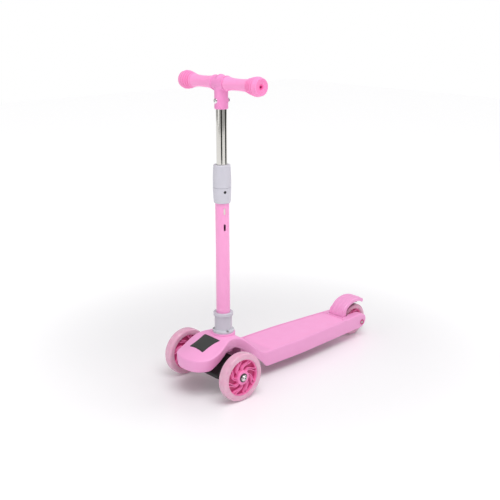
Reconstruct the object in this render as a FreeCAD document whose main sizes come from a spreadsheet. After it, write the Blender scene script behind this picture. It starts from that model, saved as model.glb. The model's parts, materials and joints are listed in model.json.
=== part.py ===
import FreeCAD, Part
import math
import os
import Sketcher
from FreeCAD import Placement, Rotation, Vector

# A child's three-wheeled kick scooter: one moulded deck and nose, a truck with two wheels
# that steers when the rider leans, a column whose inner tube slides up and down, and a rear
# wheel under a mudguard that works as the brake.
# Millimetres. +X is forward, +Y the rider's left, +Z up. The origin is on the ground, in the
# middle of the scooter's length and width.

SIZES = {
    # wheels and axles
    "wheelbase": (516, "front axle to rear axle"),
    "track": (210, "middle of one front wheel to the middle of the other"),
    "front_wheel_dia": (120, "front tyre, outside"),
    "rear_wheel_dia": (90, "rear tyre, outside"),
    "wheel_width": (24, "tyre and hub, across the wheel"),
    "tyre_shoulder": (4.5, "bevel on each side of a tyre"),
    "front_rim_dia": (90, "seat of the front tyre"),
    "rear_rim_dia": (64, "seat of the rear tyre"),
    "rim_wall": (3.5, "rim under the tyre"),
    "rim_inset": (1.5, "rim's edge back from the tyre's side"),
    "hub_dia": (30, "boss round the bearings"),
    "web": (2.5, "disc that closes the rim's middle"),
    "spoke": (2.4, "thickness of a spoke"),
    "spokes": (16, "number of spokes"),
    "spoke_depth": (17, "spoke, across the wheel"),
    "lamp_length": (11, "flashing unit, round the wheel"),
    "lamp_width": (9, "flashing unit, across the wheel"),
    "lamp_height": (4, "flashing unit, outward"),
    "bearing_dia": (22, "bearing, outside"),
    "bearing_bore": (8.1, "bearing, inside"),
    "bearing_width": (7, "bearing, along the axle"),
    "axle_dia": (8, "all axles and the king bolt"),
    "axle_spacer_dia": (12, "sleeves on the axles"),
    "bolt_head_dia": (13, "heads and nuts on the axles, across the flats"),
    "bolt_head": (5.5, "height of those heads and nuts"),
    "washer": (1, "washer thickness"),
    "washer_dia": (16, "washer, outside"),
    # moulded body
    "nose_reach": (90, "front axle to the tip of the nose"),
    "nose_height": (101, "top of the nose at its tip"),
    "nose_skirt": (70, "lower edge of the nose"),
    "body_width": (118, "body and deck at their widest"),
    "waist_width": (87, "body beside the column"),
    "waist_length": (120, "length of the pinched stretch"),
    "hump_height": (132, "top of the body at the column"),
    "arch_height": (103, "top of the opening for the truck's arms"),
    "deck_top": (71, "standing surface"),
    "deck_base": (29, "lower edge of the deck"),
    "tail_width": (93, "deck where the mudguard starts"),
    "fork_width": (84, "outside of the fork at the rear axle"),
    "fork_end": (15, "fork behind the rear axle"),
    "slot_width": (40, "opening for the rear wheel"),
    "slot_reach": (50, "rear axle to the front of that opening"),
    "wall": (3.5, "body wall"),
    "rib": (2.5, "ribs under the deck"),
    "rib_pitch": (58, "from one cross rib to the next"),
    "rib_depth": (30, "ribs, below the deck's skin"),
    "pad_depth": (1.8, "non-slip pad"),
    "pad_drop": (0.3, "pad's top, below the deck's rim"),
    "pad_margin": (7, "pad's edge in from the deck's edge"),
    "pad_length": (296, "pad, along the deck"),
    "pad_corner": (14, "pad's corner radius"),
    "panel_length": (52, "dark panel on the nose, along it"),
    "panel_front": (45, "its width at the front"),
    "panel_back": (54, "its width at the back"),
    "panel_depth": (1.6, "its thickness"),
    # truck
    "king_lean": (35, "king bolt's lean forward from upright, degrees"),
    "king_height": (62, "king bolt's crossing of the axle plane"),
    "king_hub_dia": (30, "truck's hub round the king bolt"),
    "king_hub": (27, "length of that hub"),
    "king_bush_dia": (12, "sleeve in that hub, outside"),
    "king_boss_dia": (28, "body's boss that the king bolt screws into"),
    "king_bolt": (36, "bolt above the hub"),
    "king_seat": (40, "king nut's foot, above the bolt's crossing of the axle plane"),
    "truck_front": (34, "truck beam ahead of the axle"),
    "truck_back": (32, "truck beam behind the axle"),
    "truck_base": (50, "lower face of the beam"),
    "truck_top": (76, "seats of the rubber buffers"),
    "truck_span": (124, "beam, across"),
    "arm_dia": (26, "round arm out to each wheel"),
    "buffer_dia": (18, "rubber buffer"),
    "buffer_height": (20, "rubber buffer"),
    "buffer_spread": (68, "middle of one buffer to the middle of the other"),
    # column
    "column_back": (37.4, "front axle to the column"),
    "seat_height": (135.2, "seat of the column's socket"),
    "flange_dia": (53.5, "socket's flange"),
    "flange": (6.4, "flange thickness"),
    "socket_dia": (42.6, "socket"),
    "socket_height": (51.4, "socket, flange to rim"),
    "socket_rim_dia": (48.8, "socket's rim"),
    "socket_rim": (8.4, "rim, top to bottom"),
    "screw_dia": (3, "flange screws"),
    "screw_head_dia": (5, "their heads"),
    "screw_circle": (48, "circle through the screws"),
    "screw_length": (16, "screw below its head"),
    "tube_dia": (34, "outer tube"),
    "tube_wall": (1.5, "both tubes"),
    "tube_foot": (90, "lower end of the outer tube"),
    "tube_top": (516, "upper end of the outer tube"),
    "stem_dia": (25.4, "inner tube"),
    "stem_foot": (432, "lower end of the inner tube"),
    "stem_top": (722, "upper end of the inner tube"),
    "bush_length": (17, "guide sleeve in the outer tube"),
    "bush_flange": (3, "its flange on top of the tube"),
    "collar_base": (460.7, "lower edge of the collar"),
    "collar_seam": (497.9, "joint between the collar's halves"),
    "collar_top": (551.5, "upper edge of the collar"),
    "collar_dia": (44, "collar at its widest"),
    "collar_end_dia": (40.5, "collar at its ends"),
    "catch_length": (16.5, "slots in the outer tube"),
    "catch_width": (5, "slots in the outer tube"),
    "catch_pitch": (39.1, "one slot to the next"),
    "catch_back": (2, "catch inside the stem"),
    "catch_low": (402.5, "middle of the lowest slot"),
    "catch_turn": (69, "slots' direction from straight ahead, degrees"),
    "button_height": (488.7, "release button, and the highest slot behind it"),
    "button_dia": (4.8, "release button"),
    "button_rim": (7, "recess round the button"),
    # handlebar
    "bar_height": (738.5, "middle of the bar"),
    "bar_width": (272, "bar, over the grips"),
    "core_dia": (22, "steel bar inside the grips"),
    "sleeve_dia": (32, "T-piece round the stem"),
    "sleeve_base": (680, "lower edge of the T-piece"),
    "barrel_dia": (37, "T-piece round the bar"),
    "barrel_width": (42, "T-piece, along the bar"),
    "clamp_height": (699, "bolt through the T-piece and the stem"),
    "clamp_dia": (6, "that bolt"),
    "grip_waist": (27.5, "grip at its thinnest"),
    "grip_lip": (33, "grip beside the T-piece"),
    "grip_bell": (43, "grip at its outer end"),
    "grip_bell_width": (41, "bell, along the bar"),
    "grip_hole": (6, "hole in the grip's end"),
    # brake
    "guard_width": (50, "mudguard"),
    "guard_reach": (66, "mudguard ahead of the rear axle"),
    "guard_tail": (24, "mudguard behind the rear axle"),
    "guard_height": (115, "top of the mudguard"),
    "guard_wall": (3, "mudguard wall"),
    "brake_gap": (4.5, "brake shoe to tyre"),
    "shoe_width": (16, "brake shoe"),
    "pin_dia": (5, "brake's hinge pin"),
    "pin_height": (64, "that pin"),
    "pin_reach": (60, "that pin ahead of the rear axle"),
    "brake_coil": (10, "return spring, along the pin"),
    "spring_wire": (1.2, "its wire"),
    # fits
    "running_gap": (0.05, "radius left round what turns or slides"),
    "seat_gap": (0.02, "radius left round what is pressed in or screwed down"),
    "end_gap": (0.1, "length left beside what turns"),
}

doc = FreeCAD.newDocument("KickScooter")
sheet = doc.addObject("Spreadsheet::Sheet", "Sizes")


class Length:
    """A length worked out from the sheet: its formula as text, and its value."""

    def __init__(self, text, value):
        self.text = text
        self.value = value

    def joined(self, sign, other, value):
        return Length(f"({self.text} {sign} {as_length(other).text})", value)

    def __add__(self, other):
        return self.joined("+", other, self.value + as_length(other).value)

    def __sub__(self, other):
        return self.joined("-", other, self.value - as_length(other).value)

    def __mul__(self, other):
        return self.joined("*", other, self.value * as_length(other).value)

    def __truediv__(self, other):
        return self.joined("/", other, self.value / as_length(other).value)

    def __neg__(self):
        return as_length(0) - self

    __radd__ = __add__
    __rmul__ = __mul__

    def __rsub__(self, other):
        return as_length(other) - self


def as_length(number):
    return number if isinstance(number, Length) else Length(f"{number:g}", float(number))


def read_sizes():
    """Fill the sheet and give each size as an attribute."""
    for row, (name, (number, meaning)) in enumerate(SIZES.items(), 1):
        sheet.set(f"A{row}", meaning)
        sheet.set(f"B{row}", str(number))
        sheet.setAlias(f"B{row}", name)
    doc.recompute()

    class Sheet:
        pass

    for name in SIZES:
        setattr(Sheet, name, Length(f"Sizes.{name}", float(sheet.get(name))))
    return Sheet


s = read_sizes()
parts = {}

# Places that several pieces share.
HALF_LENGTH = (s.nose_reach + s.wheelbase + s.rear_wheel_dia / 2) / 2
FRONT_X = HALF_LENGTH - s.nose_reach
REAR_X = FRONT_X - s.wheelbase
COLUMN_X = FRONT_X - s.column_back
FRONT_Z = s.front_wheel_dia / 2
REAR_Z = s.rear_wheel_dia / 2

# Directions: each turns a piece that was made upright.
UPRIGHT = Rotation()
FORWARD = Rotation(Vector(0, 1, 0), 90)
BACKWARD = Rotation(Vector(0, 1, 0), -90)
LEFT = Rotation(Vector(1, 0, 0), -90)
RIGHT = Rotation(Vector(1, 0, 0), 90)
TWELFTH = Rotation(Vector(0, 0, 1), 30)
KING = Rotation(Vector(0, 1, 0), s.king_lean.value)
CATCH = Rotation(Vector(0, 0, 1), s.catch_turn.value) * FORWARD


# ---------------------------------------------------------------- tools

def place(piece, x=0, y=0, z=0, turn=UPRIGHT):
    """Turn a piece and tie its place to the sheet."""
    piece.Placement = Placement(Vector(), turn)
    for axis, length in zip("xyz", (x, y, z)):
        piece.setExpression(f".Placement.Base.{axis}", as_length(length).text)
    return piece


def cylinder(name, diameter, length, x=0, y=0, z=0, turn=UPRIGHT):
    piece = doc.addObject("Part::Cylinder", name)
    piece.setExpression("Radius", (as_length(diameter) / 2).text)
    piece.setExpression("Height", as_length(length).text)
    return place(piece, x, y, z, turn)


def hexagon(name, across, length, x=0, y=0, z=0, turn=UPRIGHT):
    """A six-sided nut or bolt head, given across its flats."""
    piece = doc.addObject("Part::Prism", name)
    piece.Polygon = 6
    piece.setExpression("Circumradius", (as_length(across) / math.sqrt(3)).text)
    piece.setExpression("Height", as_length(length).text)
    return place(piece, x, y, z, turn)


def joined(name, *pieces):
    whole = doc.addObject("Part::MultiFuse", name)
    whole.Shapes = list(pieces)
    return whole


def minus(name, base, *tools):
    whole = doc.addObject("Part::Cut", name)
    whole.Base = base
    whole.Tool = tools[0] if len(tools) == 1 else joined(f"{name}_tools", *tools)
    return whole


def group(name, *pieces):
    """Several loose solids of one kind, kept as one node."""
    whole = doc.addObject("Part::Compound", name)
    whole.Links = list(pieces)
    return whole


def outline(sketch, corners):
    """Draw a closed outline whose corners are tied to the sheet."""
    count = len(corners)
    at = [Vector(across.value, up.value, 0) for across, up in corners]
    for i in range(count):
        sketch.addGeometry(Part.LineSegment(at[i], at[(i + 1) % count]))
    ties = [Sketcher.Constraint("Coincident", i, 2, (i + 1) % count, 1) for i in range(count)]
    for i in range(count):
        ties.append(Sketcher.Constraint("DistanceX", -1, 1, i, 1, at[i].x))
        ties.append(Sketcher.Constraint("DistanceY", -1, 1, i, 1, at[i].y))
    sketch.addConstraint(ties)
    for i, (across, up) in enumerate(corners):
        sketch.setExpression(f"Constraints[{count + 2 * i}]", across.text)
        sketch.setExpression(f"Constraints[{count + 2 * i + 1}]", up.text)


def new_sketch(body, role, corners, name):
    sketch = body.newObject("Sketcher::SketchObject", name)
    plane = next(item for item in body.Origin.OriginFeatures if item.Role == role)
    sketch.AttachmentSupport = (plane, [""])
    sketch.MapMode = "FlatFace"
    outline(sketch, [(as_length(across), as_length(up)) for across, up in corners])
    return sketch


def lathe(name, corners, x=0, y=0, z=0, turn=UPRIGHT):
    """A turned piece: its outline is (radius, distance along the axis)."""
    body = doc.addObject("PartDesign::Body", name)
    sketch = new_sketch(body, "XZ_Plane", corners, f"{name}_outline")
    turned = body.newObject("PartDesign::Revolution", f"{name}_turned")
    turned.Profile = sketch
    turned.ReferenceAxis = (sketch, ["V_Axis"])
    turned.Angle = 360
    body.Tip = turned
    return place(body, x, y, z, turn)


def ring(name, outside, inside, start, end, x=0, y=0, z=0, turn=UPRIGHT):
    """A plain sleeve, given by its two diameters and its two ends."""
    outer = as_length(outside) / 2
    inner = as_length(inside) / 2
    corners = [(inner, start), (outer, start), (outer, end), (inner, end)]
    return lathe(name, corners, x, y, z, turn)


def keep(node, piece):
    """Give a finished piece its node name."""
    piece.Label = node
    parts[node] = piece
    return piece


# ---------------------------------------------------------------- wheels

def spoked_rim(name, rim_dia):
    """Hub, disc and rim turned as one section, with spokes patterned round it."""
    half = s.wheel_width / 2
    bore = s.bearing_dia / 2 + s.seat_gap
    lip = s.axle_spacer_dia / 2 + 1
    stop = half - s.bearing_width
    seat = rim_dia / 2
    edge = half - s.rim_inset
    well = seat - s.rim_wall
    body = doc.addObject("PartDesign::Body", name)
    section = [
        (lip, -stop), (bore, -stop), (bore, -half), (s.hub_dia / 2, -half),
        (s.hub_dia / 2, -s.web / 2), (well, -s.web / 2), (well, -edge), (seat, -edge),
        (seat, edge), (well, edge), (well, s.web / 2), (s.hub_dia / 2, s.web / 2),
        (s.hub_dia / 2, half), (bore, half), (bore, stop), (lip, stop),
    ]
    sketch = new_sketch(body, "XZ_Plane", section, f"{name}_section")
    turned = body.newObject("PartDesign::Revolution", f"{name}_turned")
    turned.Profile = sketch
    turned.ReferenceAxis = (sketch, ["V_Axis"])
    turned.Angle = 360
    start = s.hub_dia / 2 - 1
    end = well + 1
    blade = [(start, -s.spoke / 2), (end, -s.spoke / 2), (end, s.spoke / 2), (start, s.spoke / 2)]
    plan = new_sketch(body, "XY_Plane", blade, f"{name}_spoke_outline")
    spoke = body.newObject("PartDesign::Pad", f"{name}_spoke")
    spoke.Profile = plan
    spoke.Midplane = True
    spoke.setExpression("Length", s.spoke_depth.text)
    doc.recompute()
    pattern = body.newObject("PartDesign::PolarPattern", f"{name}_spokes")
    pattern.Originals = [spoke]
    pattern.Axis = (sketch, ["V_Axis"])
    pattern.Angle = 360
    pattern.setExpression("Occurrences", s.spokes.text)
    body.Tip = pattern
    return body


def lamps(name, rim_dia, x, y, z, count=6):
    """Flashing units spaced round the rim, inside the tyre."""
    units = []
    for i in range(count):
        angle = 360 * i / count
        unit = doc.addObject("Part::Box", f"{name}_{i}")
        unit.setExpression("Length", s.lamp_height.text)
        unit.setExpression("Width", s.lamp_width.text)
        unit.setExpression("Height", s.lamp_length.text)
        turn = Rotation(Vector(0, 1, 0), -angle)
        unit.Placement = Placement(Vector(), turn)
        out = rim_dia / 2 + s.seat_gap
        low = (out, -s.lamp_width / 2, -s.lamp_length / 2)
        cos = math.cos(math.radians(angle))
        sin = math.sin(math.radians(angle))
        unit.setExpression(".Placement.Base.x", (x + low[0] * cos - low[2] * sin).text)
        unit.setExpression(".Placement.Base.y", (as_length(y) + low[1]).text)
        unit.setExpression(".Placement.Base.z", (z + low[0] * sin + low[2] * cos).text)
        units.append(unit)
    return group(name, *units)


def wheel(side, wheel_dia, rim_dia, x, y, z):
    """Tyre, rim, two bearings and the flashing units of one wheel."""
    half = s.wheel_width / 2
    inner = rim_dia / 2 + s.seat_gap
    outer = wheel_dia / 2
    shoulder = s.tyre_shoulder
    keep(f"{side}_rim", place(spoked_rim(f"{side}_rim", rim_dia), x, y, z, LEFT))
    units = keep(f"{side}_lamps", lamps(f"{side}_lamps", rim_dia, x, y, z))
    section = [
        (inner, -half), (outer - shoulder, -half), (outer - shoulder * 0.3, -half + shoulder * 0.3),
        (outer, -half + shoulder), (outer, half - shoulder),
        (outer - shoulder * 0.3, half - shoulder * 0.3), (outer - shoulder, half), (inner, half),
    ]
    solid = lathe(f"{side}_tyre_solid", section, x, y, z, LEFT)
    keep(f"{side}_tyre", minus(f"{side}_tyre", solid, units))
    sides = []
    for i, sign in enumerate((-1, 1)):
        low = sign * half if sign < 0 else half - s.bearing_width
        piece = ring(f"{side}_bearing_{i}", s.bearing_dia, s.bearing_bore, low,
                     low + s.bearing_width, x, y, z, LEFT)
        sides.append(piece)
    keep(f"{side}_bearings", group(f"{side}_bearings", *sides))


def hub_spacer(node, x, y, z):
    """Sleeve on the axle that holds the two bearings apart."""
    reach = s.wheel_width / 2 - s.bearing_width - s.end_gap
    bore = s.axle_dia + s.seat_gap * 2
    keep(node, ring(node, s.axle_spacer_dia, bore, -reach, reach, x, y, z, LEFT))


# ---------------------------------------------------------------- moulded body

def smooth(points):
    curve = Part.BSplineCurve()
    curve.interpolate(points)
    return curve.toShape()


def closed_face(edges):
    wire = Part.Wire(Part.__sortEdges__(edges))
    return Part.Face(wire)


def half_widths(inset):
    """Half the body's width along it, front to back: a rounded nose, a pinched waist beside
    the column, a straight deck and a tapered tail."""
    wide = s.body_width.value / 2 - inset
    front = FRONT_X.value
    rear = REAR_X.value
    middle = COLUMN_X.value
    reach = s.waist_length.value / 2
    start = middle + reach
    tip = front + s.nose_reach.value - inset
    points = []
    for i in range(13):
        angle = math.radians(90 * i / 12)
        points.append((start + (tip - start) * math.cos(angle) ** (2 / 2.4),
                       wide * math.sin(angle) ** (2 / 2.4)))
    dip = (s.body_width - s.waist_width).value / 2
    for i in range(1, 9):
        along = i / 8
        pinch = dip * (1 - math.cos(2 * math.pi * along)) / 2
        points.append((start - 2 * reach * along, wide - pinch))
    tail = rear + s.guard_reach.value
    middle_deck = (points[-1][0] + tail) / 2 + 30
    points.append((middle_deck, wide))
    points.append((tail, s.tail_width.value / 2 - inset))
    points.append((rear, s.fork_width.value / 2 - inset))
    return points


def plan_solid(inset, end, low, high):
    """The body's plan outline, drawn in by inset and cut off at end, as a prism."""
    points = half_widths(inset)
    last = points[-1]
    left = [Vector(x, y, low) for x, y in points[:-3]]
    sides = [Vector(x, y, low) for x, y in points[-4:]] + [Vector(end, last[1], low)]
    edges = [smooth(left)]
    edges += [Part.makeLine(a, b) for a, b in zip(sides, sides[1:])]
    right = [Vector(v.x, -v.y, v.z) for v in left]
    mirrored = [Vector(v.x, -v.y, v.z) for v in sides]
    edges += [smooth(right)]
    edges += [Part.makeLine(a, b) for a, b in zip(mirrored, mirrored[1:])]
    edges.append(Part.makeLine(sides[-1], mirrored[-1]))
    return closed_face(edges).extrude(Vector(0, 0, high - low))


def top_line(drop):
    """Side view of the body's top, lowered by drop: nose, hump at the column, flat deck."""
    front = FRONT_X.value
    nose = s.nose_height.value - drop
    hump = s.hump_height.value - drop
    deck = s.deck_top.value - drop
    crest = COLUMN_X.value
    foot = crest - 94
    rise = [(front + s.nose_reach.value + 1, nose)]
    for share in (0.2, 0.4, 0.6, 0.8):
        x = rise[0][0] + (crest - rise[0][0]) * share
        rise.append((x, nose + (hump - nose) * math.sin(math.pi / 2 * share) ** 1.15))
    rise.append((crest, hump))
    for share in (0.2, 0.4, 0.6, 0.8):
        x = crest + (foot - crest) * share
        rise.append((x, deck + (hump - deck) * (1 + math.cos(math.pi * share)) / 2))
    rise.append((foot, deck))
    return rise


def side_solid(drop, low, end):
    """The body's side view, lowered by drop, as a prism wider than the body."""
    points = top_line(drop)
    wide = s.body_width.value
    at = [Vector(x, -wide, z) for x, z in points]
    edges = [smooth(at)]
    corners = [at[-1], Vector(end, -wide, at[-1].z), Vector(end, -wide, low),
               Vector(at[0].x, -wide, low), at[0]]
    edges += [Part.makeLine(a, b) for a, b in zip(corners, corners[1:])]
    return closed_face(edges).extrude(Vector(0, 2 * wide, 0))


def arch_solid():
    """Everything below the body's lower edge: under the nose, the arch over the truck's arms,
    and under the deck."""
    front = FRONT_X.value
    wide = s.body_width.value
    tip = front + s.nose_reach.value + 10
    arch = s.arch_height.value
    skirt = s.nose_skirt.value
    base = s.deck_base.value
    crest = [(front + 52, skirt), (front + 30, skirt + 13), (front + 8, arch - 7),
             (front - 12, arch), (COLUMN_X.value, arch), (front - 62, arch - 12),
             (front - 90, skirt), (front - 115, skirt - 22), (front - 136, base)]
    at = [Vector(x, -wide, z) for x, z in crest]
    low = -10
    corners = [at[-1], Vector(REAR_X.value - 60, -wide, base), Vector(REAR_X.value - 60, -wide, low),
               Vector(tip, -wide, low), Vector(tip, -wide, skirt), at[0]]
    edges = [smooth(at)] + [Part.makeLine(a, b) for a, b in zip(corners, corners[1:])]
    return closed_face(edges).extrude(Vector(0, 2 * wide, 0))


def upright_cylinder(diameter, low, high, x, y=0.0):
    return Part.makeCylinder(diameter / 2, high - low, Vector(x, y, low))


def king_point(along):
    """A point on the king bolt's axis, along millimetres above the axle plane's crossing."""
    lean = math.radians(s.king_lean.value)
    return Vector(FRONT_X.value + along * math.sin(lean), 0,
                  s.king_height.value + along * math.cos(lean))


def king_cylinder(diameter, start, end):
    axis = king_point(1) - king_point(0)
    return Part.makeCylinder(diameter / 2, end - start, king_point(start), axis)


def king_hexagon(across, start, end):
    """A prism on the king bolt's axis, given across its flats."""
    corner = across / math.sqrt(3)
    ring_points = [Vector(corner * math.cos(math.radians(60 * i)),
                          corner * math.sin(math.radians(60 * i)), 0) for i in range(7)]
    solid = Part.Face(Part.makePolygon(ring_points)).extrude(Vector(0, 0, end - start))
    solid.Placement = Placement(king_point(start), KING)
    return solid


def guard_line(depth):
    """Side view of the mudguard, depth millimetres in from its outer face."""
    deck = s.deck_top.value
    top = s.guard_height.value - depth
    rise = top - deck
    x = REAR_X.value
    reach = s.guard_reach.value - depth
    tail = s.guard_tail.value
    shape = [(1, 0.0), (0.93, 0.36), (0.77, 0.68), (0.5, 0.91), (0.16, 1.0)]
    points = [(x + reach * across, deck + rise * up) for across, up in shape]
    points.append((x - tail * 0.4, top - rise * 0.02))
    points.append((x - tail, top - rise * 0.13))
    return [Vector(px, 0, pz) for px, pz in points]


def deck_ribs(top):
    """Cross ribs at an even pitch and two long ribs, hanging from the deck's skin."""
    ribs = []
    pitch = s.rib_pitch.value
    thick = s.rib.value
    low = top - s.rib_depth.value
    front = FRONT_X.value - 140
    back = REAR_X.value + s.guard_reach.value + 9
    wide = s.body_width.value
    count = int((front - back) // pitch) + 1
    for i in range(count):
        x = front - pitch * i
        ribs.append(Part.makeBox(thick, 2 * wide, top - low + 2, Vector(x - thick, -wide, low)))
    for sign in (-1, 1):
        y = sign * wide / 6
        ribs.append(Part.makeBox(front - back, thick, top - low + 2, Vector(back, y - thick / 2, low)))
    return ribs


def body_shape():
    """The moulded body: an outer form, hollowed from below, with the column's boss, the king
    bolt's boss, the buffers' seats, the ribs and the fork put back inside it."""
    wall = s.wall.value
    deck = s.deck_top.value
    front = FRONT_X.value
    rear = REAR_X.value
    column = COLUMN_X.value
    end = rear - s.fork_end.value
    high = s.seat_height.value + 10
    outer = plan_solid(0, end, 0, high).common(side_solid(0, -5, end - 5)).cut(arch_solid())
    hollow_end = rear + s.guard_reach.value + 9
    inner = plan_solid(wall, hollow_end, 0, high).common(side_solid(wall, -5, hollow_end - 5))
    inner = inner.common(Part.makeBox(1000, 400, 400, Vector(hollow_end, -200, -100)))
    pedestal = upright_cylinder(s.flange_dia.value + 4, deck + 20, s.seat_height.value, column)
    shell = outer.cut(inner).fuse(pedestal)
    # what hangs inside, kept within the outer form
    gap = s.seat_gap.value
    hub_top = s.king_hub.value / 2
    boss = upright_cylinder(s.tube_dia.value + 12, s.tube_foot.value - 4, s.seat_height.value, column)
    extra = [boss, king_cylinder(s.king_boss_dia.value, hub_top + s.washer.value, 90)]
    for sign in (-1, 1):
        y = sign * s.buffer_spread.value / 2
        low = s.truck_top.value + s.buffer_height.value
        extra.append(upright_cylinder(s.buffer_dia.value + 4, low, high, front, y))
    inside = extra[0].multiFuse(extra[1:] + deck_ribs(deck - wall))
    inside = inside.common(outer.fuse(pedestal))
    body = shell.fuse(inside)
    # openings
    bore = s.tube_dia.value + 2 * gap
    cuts = [
        upright_cylinder(bore, s.tube_foot.value, high, column),
        upright_cylinder(s.axle_dia.value + 2 * gap, 0, s.tube_foot.value + 1, column),
        king_cylinder(s.axle_dia.value + 2 * gap, 0, hub_top + s.king_bolt.value + 1),
        king_hexagon(s.bolt_head_dia.value + 2 * gap, s.king_seat.value,
                     s.king_seat.value + s.bolt_head.value),
    ]
    cuts += screw_holes()
    half = s.slot_width.value / 2
    reach = s.slot_reach.value
    cuts.append(Part.makeBox(reach + 60, 2 * half, 200, Vector(rear - 60, -half, -50)))
    pocket = s.guard_width.value / 2 + 1
    front_edge = rear + s.guard_reach.value + 1
    cuts.append(Part.makeBox(front_edge - rear - reach + 4, 2 * pocket, 200,
                             Vector(rear + reach - 4, -pocket, s.pin_height.value - 9)))
    wide = s.body_width.value
    cuts.append(Part.makeCylinder(s.axle_dia.value / 2 + gap, 2 * wide,
                                  Vector(rear, -wide, REAR_Z.value), Vector(0, 1, 0)))
    for sign in (-1, 1):
        start = sign * (s.fork_width.value / 2 - s.bolt_head.value - 0.5)
        cuts.append(Part.makeCylinder(10, 20, Vector(rear, start, REAR_Z.value), Vector(0, sign, 0)))
    pin = s.guard_width.value / 2 + 9
    cuts.append(Part.makeCylinder(s.pin_dia.value / 2 + gap, 2 * pin,
                                  Vector(rear + s.pin_reach.value, -pin, s.pin_height.value),
                                  Vector(0, 1, 0)))
    cuts += [pad_shape(20), panel_shape()]
    body = body.cut(cuts[0].multiFuse(cuts[1:]))
    # the fork's ends are round in side view
    radius = s.fork_end.value
    low = s.deck_base.value
    corner = Part.makeBox(2 * radius, 400, 400, Vector(rear - 2 * radius, -200, -100))
    round_end = Part.makeCylinder(radius + 6, 400, Vector(rear + 6, -200, (deck + low) / 2),
                                  Vector(0, 1, 0))
    return body.cut(corner.cut(round_end))


def screw_places():
    """The flange's screws, evenly round it, the first one beside the slots."""
    radius = s.screw_circle.value / 2
    for i in range(3):
        angle = math.radians(s.catch_turn.value + 7 + 120 * i)
        yield COLUMN_X.value + radius * math.cos(angle), radius * math.sin(angle)


def screw_holes():
    top = s.seat_height.value
    depth = s.screw_length.value
    size = s.screw_dia.value + 2 * s.seat_gap.value
    return [upright_cylinder(size, top - depth, top + 1, x, y) for x, y in screw_places()]


def pad_shape(above=0):
    """The non-slip pad: the deck's outline drawn in, with round corners, let into its top. With
    a height above, it is the pocket that the pad lies in, open upwards."""
    low = s.deck_top.value - s.pad_drop.value - s.pad_depth.value
    top = low + s.pad_depth.value + above
    margin = s.pad_margin.value
    back = REAR_X.value + s.guard_reach.value + 8
    front = back + s.pad_length.value
    outline_solid = plan_solid(margin, back - 1, low, top)
    strip = Part.makeBox(front - back, 400, 40, Vector(back, -200, low - 10))
    pad = outline_solid.common(strip)
    upright = [edge for edge in pad.Edges
               if abs(edge.BoundBox.ZLength - (top - low)) < 0.01
               and min(abs(edge.BoundBox.Center.x - back), abs(edge.BoundBox.Center.x - front)) < 0.5]
    return pad.makeFillet(min(s.pad_corner.value, 20), upright)


def panel_shape():
    """The dark panel: a slice of the nose's top skin, waisted along its sides."""
    back = FRONT_X.value - 2
    front = back + s.panel_length.value
    middle = (back + front) / 2
    half_front = s.panel_front.value / 2
    half_back = s.panel_back.value / 2
    pinch = (half_front + half_back) / 2 - 2
    corners = {}
    edges = []
    for sign in (-1, 1):
        a = Vector(back, sign * half_back, 0)
        b = Vector(middle, sign * pinch, 0)
        c = Vector(front, sign * half_front, 0)
        edges.append(Part.Arc(a, b, c).toShape())
        corners[sign] = (a, c)
    edges.append(Part.makeLine(corners[-1][0], corners[1][0]))
    edges.append(Part.makeLine(corners[-1][1], corners[1][1]))
    prism = closed_face(edges).extrude(Vector(0, 0, 400))
    end = REAR_X.value
    proud = 0.3
    skin = side_solid(-proud, 0, end).cut(side_solid(s.panel_depth.value - proud, -5, end - 5))
    return prism.common(skin)


def made(name, shape, placement=Placement()):
    piece = doc.addObject("Part::Feature", name)
    piece.Shape = shape
    piece.Placement = placement
    return piece


def moulded_body():
    keep("deck_shell", made("deck_shell", body_shape()))
    keep("deck_pad", made("deck_pad", pad_shape()))
    keep("nose_panel", made("nose_panel", panel_shape()))


# ---------------------------------------------------------------- truck

def truck_shape():
    """A wide beam across the nose, a hub on the king bolt and a round arm to each wheel."""
    front = FRONT_X.value
    half = s.truck_span.value / 2
    low = s.truck_base.value
    top = s.truck_top.value
    ahead = front + s.truck_front.value
    behind = front - s.truck_back.value
    corners = [(behind, low), (ahead, low), (ahead, low + 10), (front + 14, top),
               (behind + 8, top), (behind, top - 8)]
    at = [Vector(x, -half, z) for x, z in corners]
    beam = Part.Face(Part.makePolygon(at + at[:1])).extrude(Vector(0, 2 * half, 0))
    end = s.track.value / 2 - s.wheel_width.value / 2 - 1.5
    axle = FRONT_Z.value
    across = Vector(0, 1, 0)
    arms = Part.makeCylinder(s.arm_dia.value / 2, 2 * end, Vector(front, -end, axle), across)
    stub = end + 1.5 - s.end_gap.value
    stubs = Part.makeCylinder(s.axle_spacer_dia.value / 2, 2 * stub, Vector(front, -stub, axle), across)
    hub_half = s.king_hub.value / 2
    hub = king_cylinder(s.king_hub_dia.value, -hub_half, hub_half)
    clear = s.king_boss_dia.value + 6
    relief = king_cylinder(clear, hub_half, hub_half + 60).fuse(
        king_cylinder(s.washer_dia.value + 8, -hub_half - 40, -hub_half))
    body = beam.fuse([arms, stubs]).cut(relief).fuse(hub)
    gap = s.seat_gap.value
    bore = king_cylinder(s.king_bush_dia.value + 2 * gap, -60, 60)
    cuts = [bore]
    for sign in (-1, 1):
        inner = nut_place()
        start = sign * (inner - 8)
        cuts.append(Part.makeCylinder(s.axle_dia.value / 2 + gap, end, Vector(front, start, axle),
                                      Vector(0, sign, 0)))
        wide = s.bolt_head_dia.value + 2 * gap
        thick = s.bolt_head.value + 2 * gap
        mid = sign * (inner + s.bolt_head.value / 2)
        cuts.append(Part.makeBox(wide, thick, axle + wide * 0.6 - low + 5,
                                 Vector(front - wide / 2, mid - thick / 2, low - 5)))
    return body.cut(cuts[0].multiFuse(cuts[1:]))


def nut_place():
    """Distance from the middle to the nut that each front axle screws into."""
    return s.truck_span.value / 2 - 8 - s.bolt_head.value


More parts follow.
